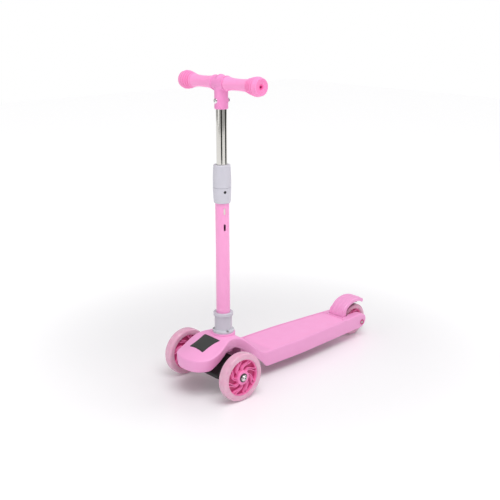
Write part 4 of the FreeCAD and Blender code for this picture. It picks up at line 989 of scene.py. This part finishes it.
# %% Truck
def truck_arrays():
    """Sections from the right arm's end to the left one. Between |y| = 58 and |y| = 73
    the section shrinks from the body's to the arm's by a cosine, and its middle falls."""
    end = span("truck_beam", "y")[1]
    low, high = span("truck_beam", "z")
    behind, ahead = span("truck_beam", "x")
    y = np.concatenate([np.linspace(-end, -76, 8), np.linspace(-73, -57, 9), np.linspace(-54, 54, 25),
                        np.linspace(57, 73, 9), np.linspace(76, end, 8)])
    body_shape = rounded([(behind, low, 4), (ahead - 6, low, 6), (ahead, low + 12, 6), (FRONT_X + 14, high - 1, 8),
                          (FRONT_X - 6, high + 5, 8), (behind + 6, high + 7, 6), (behind, high - 6, 5)], steps=6)
    count = len(body_shape)
    turn = np.arctan2(body_shape[:, 1] - (low + high) / 2, body_shape[:, 0] - FRONT_X)
    arm = np.stack([FRONT_X + 10.5 * np.cos(turn), FRONT_LEFT[2] + 10.5 * np.sin(turn)], 1)
    mix = ease(-np.abs(y), -73, -58)[:, None, None]
    section = arm[None] * (1 - mix) + body_shape[None] * mix
    rings = np.stack([section[..., 0], np.repeat(y[:, None], count, 1), section[..., 1]], 2)
    return skin([pole(rings[0]), *rings, pole(rings[-1])])


def king_cutter(radius, start, stop):
    points, faces = lathe_arrays([(0, start), (radius, start), (radius, stop), (0, stop)], 48, closed=False)
    points, lists = welded(tilted(points, KING_LEAN, KING_AT), faces)
    return put_mesh("cutter", points, lists)


def make_truck():
    beam = put_mesh("truck_beam_moulding", *truck_arrays())
    cutters = [king_cutter(17, KING_HUB, 74), king_cutter(12.2, -60, -KING_HUB)]
    for side in (-1, 1):
        inner, outer = sorted((side * span("front_axle_nuts", "y")[1], side * (span("front_axle_nuts", "y")[1] - 5.6)))
        slot = [(FRONT_X - 6.8, 30), (FRONT_X + 6.8, 30), (FRONT_X + 6.8, 68.2), (FRONT_X - 6.8, 68.2)]
        cutters.append(cutter(slot, inner - 0.3, outer + 0.3, axis=1))
        hole0, hole1 = sorted((side * 40, side * 120))
        cutters.append(cutter(circle(4.05, (FRONT_X, FRONT_LEFT[2]), 32), hole0, hole1, axis=1))
    cut(beam, *cutters)
    hub, hub_faces = lathe_arrays(rounded([(6.05, -KING_HUB, 0), (15, -KING_HUB, 0.8), (15, KING_HUB, 0.8),
                                           (6.05, KING_HUB, 0)]), 64)
    hub = tilted(hub, KING_LEAN, KING_AT)
    sleeve = put_mesh("truck_hub", hub, turned_outwards(hub, hub_faces))
    for piece in (beam, sleeve):
        piece.data.materials.append(TRUCK_BLACK)
        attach(piece, "truck")
    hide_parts("truck_beam")
    return beam


truck = make_truck()
print("truck", len(truck.data.polygons), "faces")


# %% [markdown]
# ## Mudguard brake
# A curved plate rides over the rear wheel on a pin. It has rounded sides that hang down, steps
# along its top that stiffen it, a tail that droops, and two cheeks that reach the pin.
# The plate is a section of constant shape carried along the guard's line.

# %% Mudguard
GUARD_LOW, GUARD_TOP = span("mudguard", "z")
GUARD_TAIL, GUARD_FRONT = span("mudguard", "x")
PIN = pivot("brake_press")


def guard_path(count=70):
    """The guard's side line from the deck, over the wheel, to the tail: a smooth curve through
    stations by chord length, with its outward direction."""
    reach = GUARD_FRONT - REAR[0]
    top = GUARD_TOP - 1.2
    rise = top - DECK_TOP
    tail = REAR[0] - GUARD_TAIL
    at = np.array([(REAR[0] + reach - 0.4, DECK_TOP - 6)] +
                  [(REAR[0] + reach * k, DECK_TOP + rise * h) for k, h in
                   ((0.995, 0.04), (0.93, 0.36), (0.77, 0.68), (0.5, 0.91), (0.16, 1.0))] +
                  [(REAR[0] - tail * 0.4, top - rise * 0.05), (REAR[0] - tail * 0.8, top - rise * 0.17),
                   (REAR[0] - tail, top - rise * 0.22)])
    length = np.concatenate([[0], np.cumsum(np.linalg.norm(np.diff(at, axis=0), axis=1))])
    fine = np.linspace(0, length[-1], count)
    x = smooth_line(zip(length, at[:, 0]))(fine)
    z = smooth_line(zip(length, at[:, 1]))(fine)
    for _ in range(6):
        x[1:-1] = (x[:-2] + 2 * x[1:-1] + x[2:]) / 4
        z[1:-1] = (z[:-2] + 2 * z[1:-1] + z[2:]) / 4
    ahead = np.stack([np.gradient(x), np.gradient(z)], 1)
    ahead /= np.linalg.norm(ahead, axis=1)[:, None]
    return np.stack([x, z], 1), np.stack([-ahead[:, 1], ahead[:, 0]], 1)


def guard_arrays():
    """Across the guard: down one side by 9 mm, round a corner of 5 mm, over the top with three
    raised bands 1 mm high whose edges are cosine steps, and down the other side."""
    path, out = guard_path()
    if out[len(out) // 2, 1] < 0:
        out = -out
    half = 25.0
    corner = 5.0
    side = [(half, d) for d in np.linspace(-9.5, -corner, 5)]
    turn = np.linspace(0, np.pi / 2, 8)[1:]
    arc = [(half - corner + corner * math.cos(a), -corner + corner * math.sin(a)) for a in turn]
    top = [(v, 0.0) for v in np.linspace(half - corner, -(half - corner), 81)[1:-1]]
    section = np.array(side + arc + top + [(-y, d) for y, d in (side + arc)[::-1]])
    y = section[:, 0]
    band = np.zeros_like(y)
    for centre, wide in ((-12.5, 3.2), (0.0, 4.2), (12.5, 3.2)):
        band += ease(wide - np.abs(y - centre), 0, 1.2)
    share = np.linspace(0, 1, len(path))
    lift = 1.0 * ease(share, 0.06, 0.16) * (1 - ease(share, 0.93, 0.98))
    depth = section[None, :, 1] + band[None] * lift[:, None]
    narrow = 1 - 0.1 * ease(share, 0.8, 1.0)
    points = np.stack([path[:, None, 0] + out[:, None, 0] * depth,
                       section[None, :, 0] * narrow[:, None],
                       path[:, None, 1] + out[:, None, 1] * depth], 2)
    faces = grid_faces(*points.shape[:2])
    flat = points.reshape(-1, 3)
    a, b, c = (flat[faces[:, k]] for k in (0, 1, 2))
    normal = np.cross(b - a, c - a)
    centre = (flat[faces].mean(1) - [REAR[0], 0, REAR[2]])
    if np.einsum("ij,ij->", normal, centre) < 0:
        faces = faces[:, ::-1]
    return flat, faces


def make_guard():
    guard = put_mesh("mudguard_plate", *guard_arrays())
    wall = guard.modifiers.new("wall", "SOLIDIFY")
    wall.thickness = 2.6 * MM
    wall.offset = -1
    edge = guard.modifiers.new("edge", "BEVEL")
    edge.width = 0.7 * MM
    edge.segments = 2
    edge.limit_method = "ANGLE"
    edge.angle_limit = math.radians(50)
    cut(guard)
    shapes = []
    for side in (-1, 1):
        y0, y1 = sorted((side * 20.6, side * 24.4))
        cheek = rounded([(PIN[0] - 6, PIN[2] - 4.5, 4), (PIN[0] + 5.6, PIN[2] - 4.5, 4), (PIN[0] + 5.6, DECK_TOP + 4, 2),
                         (PIN[0] + 2.5, DECK_TOP + 17, 2), (PIN[0] - 12, DECK_TOP + 24, 4), (PIN[0] - 10, DECK_TOP + 6, 8)], steps=5)
        shapes.append(prism_arrays(cheek, y0, y1, axis=1))
    points, faces = joined_arrays(*shapes)
    cheeks = put_mesh("mudguard_cheeks", points, faces)
    for piece in (guard, cheeks):
        piece.data.materials.append(BODY_PINK)
        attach(piece, "brake")
    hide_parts("mudguard")
    return guard


guard = make_guard()
print("guard", len(guard.data.polygons), "faces")


# %% [markdown]
# ## Column: socket, painted tube, collar and stem
# All are lathes about the column's axis. The socket and the collar are satin grey-white
# mouldings with rounded edges; the collar swells towards the seam between its two halves.
# The tube's slots are cut with a rounded prism turned to the catch's side.

# %% Column
AXIS = np.array([COLUMN_X, 0, 0.0])


def at_catch(points):
    """Turn a shape built towards +X so that it faces the catch, then move it to the column."""
    c, s = math.cos(CATCH_TURN), math.sin(CATCH_TURN)
    return points @ np.array([[c, -s, 0], [s, c, 0], [0, 0, 1]]).T + AXIS


def radial_cutter(outline, start, stop):
    points, faces = prism_arrays(outline, start, stop, axis=0)
    return put_mesh("cutter", at_catch(points), faces)


def column_lathe(name, outline, material, body, nodes, closed=True, sharp=30, steps=128):
    piece = lathe(name, outline, AXIS, None, steps, closed, sharp)
    piece.data.materials.append(material)
    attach(piece, body)
    if nodes:
        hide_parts(*nodes)
    return piece


low, high = span("column_socket", "z")
socket = column_lathe("column_socket_moulding", rounded(
    [(17.05, low, 0.3), (26.75, low, 1.0), (26.75, low + 6.4, 1.6), (21.3, low + 6.4, 2.2), (21.3, high - 8.4, 1.4),
     (24.4, high - 8.4, 1.0), (24.4, high, 1.8), (17.05, high, 0.7)], steps=5),
    COLLAR_WHITE, "frame", ["column_socket"])
screw_top = span("socket_screws", "z")[1]
cut(socket, *[cutter(circle(3.3, (COLUMN_X + 24 * math.cos(a), 24 * math.sin(a)), 32), low + 4.4, screw_top + 2.5)
              for a in (CATCH_TURN + math.radians(7 + 120 * k) for k in range(3))])

low, high = span("outer_tube", "z")
tube = column_lathe("outer_tube_painted", rounded([(15.5, low, 0), (17, low, 0.4), (17, high, 0.8), (15.5, high, 0.8)]),
                    TUBE_PINK, "frame", ["outer_tube"])
BUTTON_Z = sum(span("release_button", "z")) / 2
slot_outline = np.array([(2.5 * math.cos(a), 5.75 * math.copysign(1, math.sin(a)) + 2.5 * math.sin(a))
                         for a in (np.arange(28) + 0.5) * 2 * np.pi / 28])
cut(tube, *[radial_cutter(slot_outline + [0, z], 5, 30)
            for z in (402.5, 441.6, BUTTON_Z)])


def collar_radius(z):
    """A barrel: 22 mm at the seam, easing to 20.25 mm at each end by a square."""
    seam = span("collar_cap", "z")[0]
    ends = np.where(z < seam, seam - span("collar_base", "z")[0], span("collar_cap", "z")[1] - seam)
    return 22 - 1.75 * ((z - seam) / ends) ** 2


def barrel(low, high, bore_low, bore_high, step, round_low, round_high):
    """A hollow barrel's outline: bore up one side, the swelling wall down the other."""
    z = np.linspace(high, low, 26)[1:-1]
    outer = [(float(collar_radius(v)), float(v), 0) for v in z if low + 2.6 < v < high - 2.6]
    corners = [(bore_low, low, 0.4), (bore_low, step, 0), (bore_high, step, 0), (bore_high, high, 0.6),
               (float(collar_radius(high)), high, round_high)] + outer + [(float(collar_radius(low)), low, round_low)]
    return rounded(corners, steps=6)


low, seam = span("collar_base", "z")
base = column_lathe("collar_base_barrel", barrel(low, seam - 0.25, 17.02, 17.03, (low + seam) / 2, 2.6, 0.5),
                    COLLAR_WHITE, "frame", ["collar_base"])
cut(base, radial_cutter(circle(3.5, (0, BUTTON_Z), 40), 5, 30))
high = span("collar_cap", "z")[1]
bush_top = span("guide_bush", "z")[1]
column_lathe("collar_cap_barrel", barrel(seam + 0.25, high, 17.04, 13.1, bush_top + 0.1, 0.5, 2.4),
                   COLLAR_WHITE, "frame", ["collar_cap"])

low, high = span("inner_tube", "z")
column_lathe("inner_tube_chromed", rounded([(11.2, low, 0), (12.7, low, 0.5), (12.7, high, 0.5), (11.2, high, 0)]),
                    CHROME, "mast", ["inner_tube"])
button_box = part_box("release_button")
points, faces = lathe_arrays(rounded([(0, 16.5, 0), (2.3, 16.5, 0), (2.3, 18.4, 0), (3.1, 18.4, 0.2), (3.1, 20.6, 0.5),
                                      (2.0, 20.95, 1.5), (0, 21.05, 0)], closed=False), 48, closed=False)
points = points[:, [2, 0, 1]] + [0, 0, BUTTON_Z]
points, lists = welded(at_catch(points), turned_outwards(points, faces))
button = put_mesh("release_button_cap", points, lists)
button.data.materials.append(BUTTON_BLACK)
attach(button, "button")
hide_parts("release_button")
print("column done; catch side at", round(math.degrees(CATCH_TURN), 1), "degrees")


# %% [markdown]
# ## Handlebar
# The T-piece is one casting in which a sleeve swells into a barrel. Plain lathes would meet
# in a hard line, so they are merged by a voxel remesh and relaxed, which draws a fillet of
# some 3 mm between them. The ring lips beside the grips stay crisp lathes of their own.

# %% T-piece
def make_tee():
    low = span("tee_head", "z")[0]
    sleeve_line = smooth_line([(low, 16.4), (low + 3, 16.2), (low + 10, 15.9), (low + 26, 15.9), (low + 40, 16.2),
                               (BAR_Z - 8, 16.6)])
    z = np.linspace(low, BAR_Z - 8, 34)
    sleeve = rounded([(0, low, 0), (float(sleeve_line(low)), low, 1.6)] +
                     [(float(sleeve_line(v)), float(v), 0) for v in z[2:]] + [(0, BAR_Z - 8, 0)], closed=False, steps=5)
    shapes = []
    points, faces = lathe_arrays(sleeve, 96, closed=False)
    shapes.append(welded(points + AXIS, faces))
    y = np.linspace(-20.6, 20.6, 40)
    barrel_outline = [(0, -20.6)] + [(16.8 - 0.3 * (v / 20.6) ** 2, v) for v in y] + [(0, 20.6)]
    points, faces = lathe_arrays(barrel_outline, 96, closed=False)
    points = along_y(points)
    shapes.append(welded(points + [COLUMN_X, 0, BAR_Z], turned_outwards(points, faces)))
    turn = np.linspace(0, np.pi, 30)
    points, faces = lathe_arrays(np.stack([17.0 * np.sin(turn), 20.4 * -np.cos(turn)], 1), 96, closed=False)
    shapes.append(welded(points * [1, 0.8, 1] + [COLUMN_X, 0, BAR_Z], faces))
    bolt_z = sum(span("tee_bolt", "z")) / 2
    for start, stop, radius in ((12.0, 17.0, 7.2), (-18.0, -12.0, 7.6)):
        points, faces = lathe_arrays(rounded([(0, start, 0), (radius, start, 1), (radius, stop, 1), (0, stop, 0)],
                                             closed=False), 48, closed=False)
        points = points[:, [2, 0, 1]]
        shapes.append(welded(points + [COLUMN_X, 0, bolt_z], turned_outwards(points, faces)))
    points, faces = joined_arrays(*shapes)
    tee = put_mesh("tee_head_casting", points, faces)
    blend = tee.modifiers.new("merge", "REMESH")
    blend.mode = "VOXEL"
    blend.voxel_size = 0.8 * MM
    relax = tee.modifiers.new("relax", "SMOOTH")
    relax.factor = 0.6
    relax.iterations = 16
    cut(tee)
    return tee


tee = make_tee()
lips = []
for side in (-1, 1):
    ring = rounded([(12, 18.6, 0), (17.3, 18.6, 0.8), (17.8, 19.8, 0.6), (17.8, 20.9, 0.7), (12, 20.9, 0)], steps=4)
    points, faces = lathe_arrays(ring, 96)
    points = along_y(points) * [1, side, 1] + [COLUMN_X, 0, BAR_Z]
    lips.append((points, [turned_outwards(points, faces)]))
points, faces = joined_arrays(*lips)
tee_lips = put_mesh("tee_head_lips", points, faces)
for piece in (tee, tee_lips):
    piece.data.materials.append(TEE_PINK)
    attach(piece, "mast")
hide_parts("tee_head")
print("tee", len(tee.data.polygons), "faces")


# %% [markdown]
# ## Grips and clamp bolt
# Each grip is a lathe: a rounded flange beside the T-piece, a waist that eases out towards the
# hand's end, and a bell with five thin rings and a dished, ringed end face round a small hole.

# %% Grips
def grip_outline(inner, outer):
    """(radius, distance) up the outside, over the bell and into the end hole."""
    waist = smooth_line([(inner + 4.5, 16.4), (inner + 12, 15.0), (inner + 26, 13.9), (inner + 42, 13.6),
                         (outer - 56, 14.1), (outer - 46, 15.0), (outer - 38, 16.5), (outer - 30, 18.4),
                         (outer - 22, 20.3), (outer - 14, 21.5), (outer - 8, 21.4), (outer - 3, 19.8)])
    z = np.linspace(inner + 4.5, outer - 3, 240)
    ridge = 0.9 * np.clip(1 - ((np.mod(z - (outer - 39.5), 6.4) - 3.2) / 1.25) ** 2, 0, 1) * (z > outer - 39.5)
    wall = [(r, v, 0) for r, v in zip(waist(z) + np.where(z > outer - 7.5, 0, ridge) - 0.4, z)]
    rings = np.linspace(16.5, 4.2, 80)
    face = [(r, outer - 0.2 - 2.4 * (1 - (r / 18) ** 2) + 0.5 * max(0.0, math.cos(2 * math.pi * (r - 4.2) / 3.4)), 0)
            for r in rings]
    corners = ([(11.02, inner, 0), (16.0, inner, 0.8), (16.5, inner + 2.2, 1.8)] + wall +
               [(19.6, outer - 0.6, 1.5), (17.6, outer, 0.5)] + face +
               [(3.2, outer - 2.6, 0.4), (3.0, outer - 7, 0), (11.02, outer - 7, 0)])
    return rounded(corners, steps=4)


def make_grip(node, side):
    low, high = span(node, "y")
    inner, outer = sorted((abs(low), abs(high)))
    outline = grip_outline(inner, outer)
    points, faces = lathe_arrays(outline, 112)
    radius, along = outline.T
    # The shade attribute paints shade into the grooves and the end hole; it also deepens the middle of the end face by
    # 0.35 and the whole bell by 0.2.
    smooth = np.convolve(np.pad(radius, 9, mode="edge"), np.ones(19) / 19, "valid")
    groove = np.clip((smooth - radius) * 2.2, 0, 1) * (along > outer - 40) * (along < outer - 5)
    groove = np.maximum(groove, 0.2 * ease(along, outer - 40, outer - 30))
    hole = np.clip((9.5 - radius) / 5, 0, 1) * (along > outer - 8)
    shade = np.repeat(np.maximum(groove * (radius > 15.5), np.maximum(hole, 0.35 * (radius < 17) * (along > outer - 6))), 112)
    points = along_y(points) * [1, side, 1] + [COLUMN_X, 0, BAR_Z]
    grip = put_mesh(node + "_rubber", points, turned_outwards(points, faces), sharp=50)
    grip.data.attributes.new("shade", "FLOAT", "POINT").data.foreach_set("value", shade.astype(np.float32))
    grip.data.materials.append(GRIP_PINK)
    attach(grip, "mast")
    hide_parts(node)


make_grip("grip_left", 1)
make_grip("grip_right", -1)

# %% Axle caps
# The caps are pink plastic; their darker colour is painted shade for the recess round the rear axle.
for side in (1, -1):
    face = half_width(REAR[0]) - 0.1
    points, faces = lathe_arrays(rounded([(0, face - 0.6, 0), (7.4, face - 0.6, 0), (7.4, face, 0.3), (4.4, face, 0.3),
                                          (3.6, face - 0.45, 0.2), (0, face - 0.45, 0)], closed=False), 48, closed=False)
    points = along_y(points) * [1, side, 1]
    points, lists = welded(points + REAR, turned_outwards(points, faces))
    axle_cap = put_mesh("rear_axle_cap_" + ("left" if side > 0 else "right"), points, lists)
    axle_cap.data.materials.append(RIM_PAINTED_SHADE)
    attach(axle_cap, "frame")

# %% Clamp bolt
low, high = span("tee_bolt", "x")
bolt_z = sum(span("tee_bolt", "z")) / 2
out = high - COLUMN_X
points, faces = lathe_arrays(rounded([(0, low - COLUMN_X, 0), (2.45, low - COLUMN_X, 0.3), (2.45, out - 3.8, 0),
                                      (6.0, out - 3.8, 0.3), (5.8, out - 2.0, 1.2), (3.6, out - 0.2, 1.5), (0, out, 0)],
                                     closed=False), 64, closed=False)
points = points[:, [2, 0, 1]]
points, lists = welded(points + [COLUMN_X, 0, bolt_z], turned_outwards(points, faces))
clamp = put_mesh("tee_bolt_button_head", points, lists)
hexagon = circle(2.2, (0, bolt_z), 6)
cut(clamp, cutter(hexagon, COLUMN_X + out - 2.2, COLUMN_X + out + 5, axis=0))
clamp.data.materials.append(BRIGHT)
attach(clamp, "mast")
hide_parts("tee_bolt")
print("handlebar done")


# %% [markdown]
# ## Pieces kept from the CAD
# Bolts, nuts, bearings, springs and bushes have the right shape already. Each gets a procedural
# material chosen by its slot.

# %% Kept pieces
BEARING = metal("bearing_steel_shields", "#55504F", 0.35)
KEPT = {"bush_nylon": NATURAL_NYLON, "bright_steel": BRIGHT, "zinc_steel": ZINC, "bearing_steel": BEARING,
        "spring_steel": SPRING, "buffer_rubber": BUFFER_BLACK, "lamp_white": LAMP_WHITE,
        "truck_black": TRUCK_BLACK, "body_pink": BODY_PINK, "pad_pink": PAD_PINK, "collar_grey": COLLAR_WHITE,
        "tube_pink": TUBE_PINK, "tee_pink": TEE_PINK, "grip_pink": GRIP_PINK, "rim_pink": RIM_PINK,
        "panel_black": BUTTON_BLACK, "tyre_clear_pink": TYRE_CLEAR}
kept = 0
for part in record["subparts"]:
    slots = frame["nodes"][part["node"]].data.materials
    slots.clear()
    slots.append(KEPT[part["material_slot"]])
    kept += 1
print("materials set on", kept, "CAD pieces")


# %% [markdown]
# ## Studio
# A pale floor, a white world and three soft lamps: a broad one above and in front, a weaker
# one from the side of the camera, and a rim light from behind. Further
# out the floor glows, so that it runs into the white of the world.

# %% Floor
floor_material, floor_tree, floor_shader = finish_of("studio_floor_gloss", "#F9F8FA", 0.3, IOR=1.45,
                                                     Emission_Color=(1.0, 1.0, 1.0, 1.0))
floor = put_mesh("studio_floor", [(-6000, -6000, 0), (6000, -6000, 0), (6000, 6000, 0), (-6000, 6000, 0)],
                 np.array([[0, 1, 2, 3]]))
floor.data.materials.append(floor_material)
place = add(floor_tree, "ShaderNodeTexCoord").outputs["Object"]
away = add(floor_tree, "ShaderNodeVectorMath", {0: place}, operation="LENGTH")
glow = add(floor_tree, "ShaderNodeMapRange", {"Value": away.outputs["Value"], "From Min": 0.3, "From Max": 1.3,
                                              "To Min": 0.06, "To Max": 0.55}, interpolation_type="SMOOTHSTEP")
floor_tree.links.new(glow.outputs["Result"], floor_shader.inputs["Emission Strength"])


# %% Lights
def area_light(name, place, target, size, power, colour="#FFFFFF"):
    """A square lamp at place aimed at target, both in millimetres; power in watts."""
    data = bpy.data.lights.new(name, "AREA")
    data.shape = "RECTANGLE"
    data.size, data.size_y = size[0] * MM, size[1] * MM
    data.energy = power
    data.color = linear(colour)[:3]
    lamp = bpy.data.objects.new(name, data)
    bpy.context.scene.collection.objects.link(lamp)
    ahead = (np.array(target) - np.array(place)).astype(float)
    ahead /= np.linalg.norm(ahead)
    lamp.location = [c * MM for c in place]
    lamp.rotation_euler = (math.acos(-ahead[2]), 0, math.atan2(ahead[0], -ahead[1]) + math.pi)
    return lamp


lamps = [area_light("key", (500, 900, 2200), (0, 0, 300), (1500, 1500), 30),
         area_light("side", (1900, -300, 1100), (100, 0, 300), (900, 1400), 3),
         area_light("back", (-1500, 300, 1500), (0, 0, 300), (1200, 1200), 6)]
world = bpy.data.worlds.new("white_studio")
bpy.context.scene.world = world
world.use_nodes = True
tree = world.node_tree
output = tree.nodes["World Output"]
seen = add(tree, "ShaderNodeBackground", {"Color": linear("#FFFFFF"), "Strength": 1.0})
light = add(tree, "ShaderNodeBackground", {"Color": linear("#FFFFFF"), "Strength": 0.45})
which = add(tree, "ShaderNodeMixShader", {0: add(tree, "ShaderNodeLightPath").outputs["Is Camera Ray"],
                                          1: light.outputs[0], 2: seen.outputs[0]})
tree.links.new(which.outputs[0], output.inputs["Surface"])


# %% [markdown]
# Two dark cards stand out of sight and show only in mirror-like reflections: one behind the
# camera, one to its right. They draw the dark stripes down the chromed tube.

# %% Cards
CARD_BLACK, _, _ = finish_of("studio_card_black", "#1A1A1A", 0.9)


def card(name, middle, spread):
    """An upright strip on a circle of 2.6 m round the column, spread degrees wide."""
    turn = np.radians(np.linspace(middle - spread / 2, middle + spread / 2, 12))
    x, y = COLUMN_X + 2600 * np.cos(turn), 2600 * np.sin(turn)
    points = np.vstack([np.column_stack([x, y, np.full(12, z)]) for z in (-200.0, 2600.0)])
    strip = put_mesh(name, points, grid_faces(2, 12))
    strip.data.materials.append(CARD_BLACK)
    strip.visible_camera = strip.visible_diffuse = strip.visible_shadow = strip.visible_transmission = False
    return strip


cards = [card("card_behind_camera", CAMERA_TURN, 30), card("card_right", CAMERA_TURN + 98, 42)]
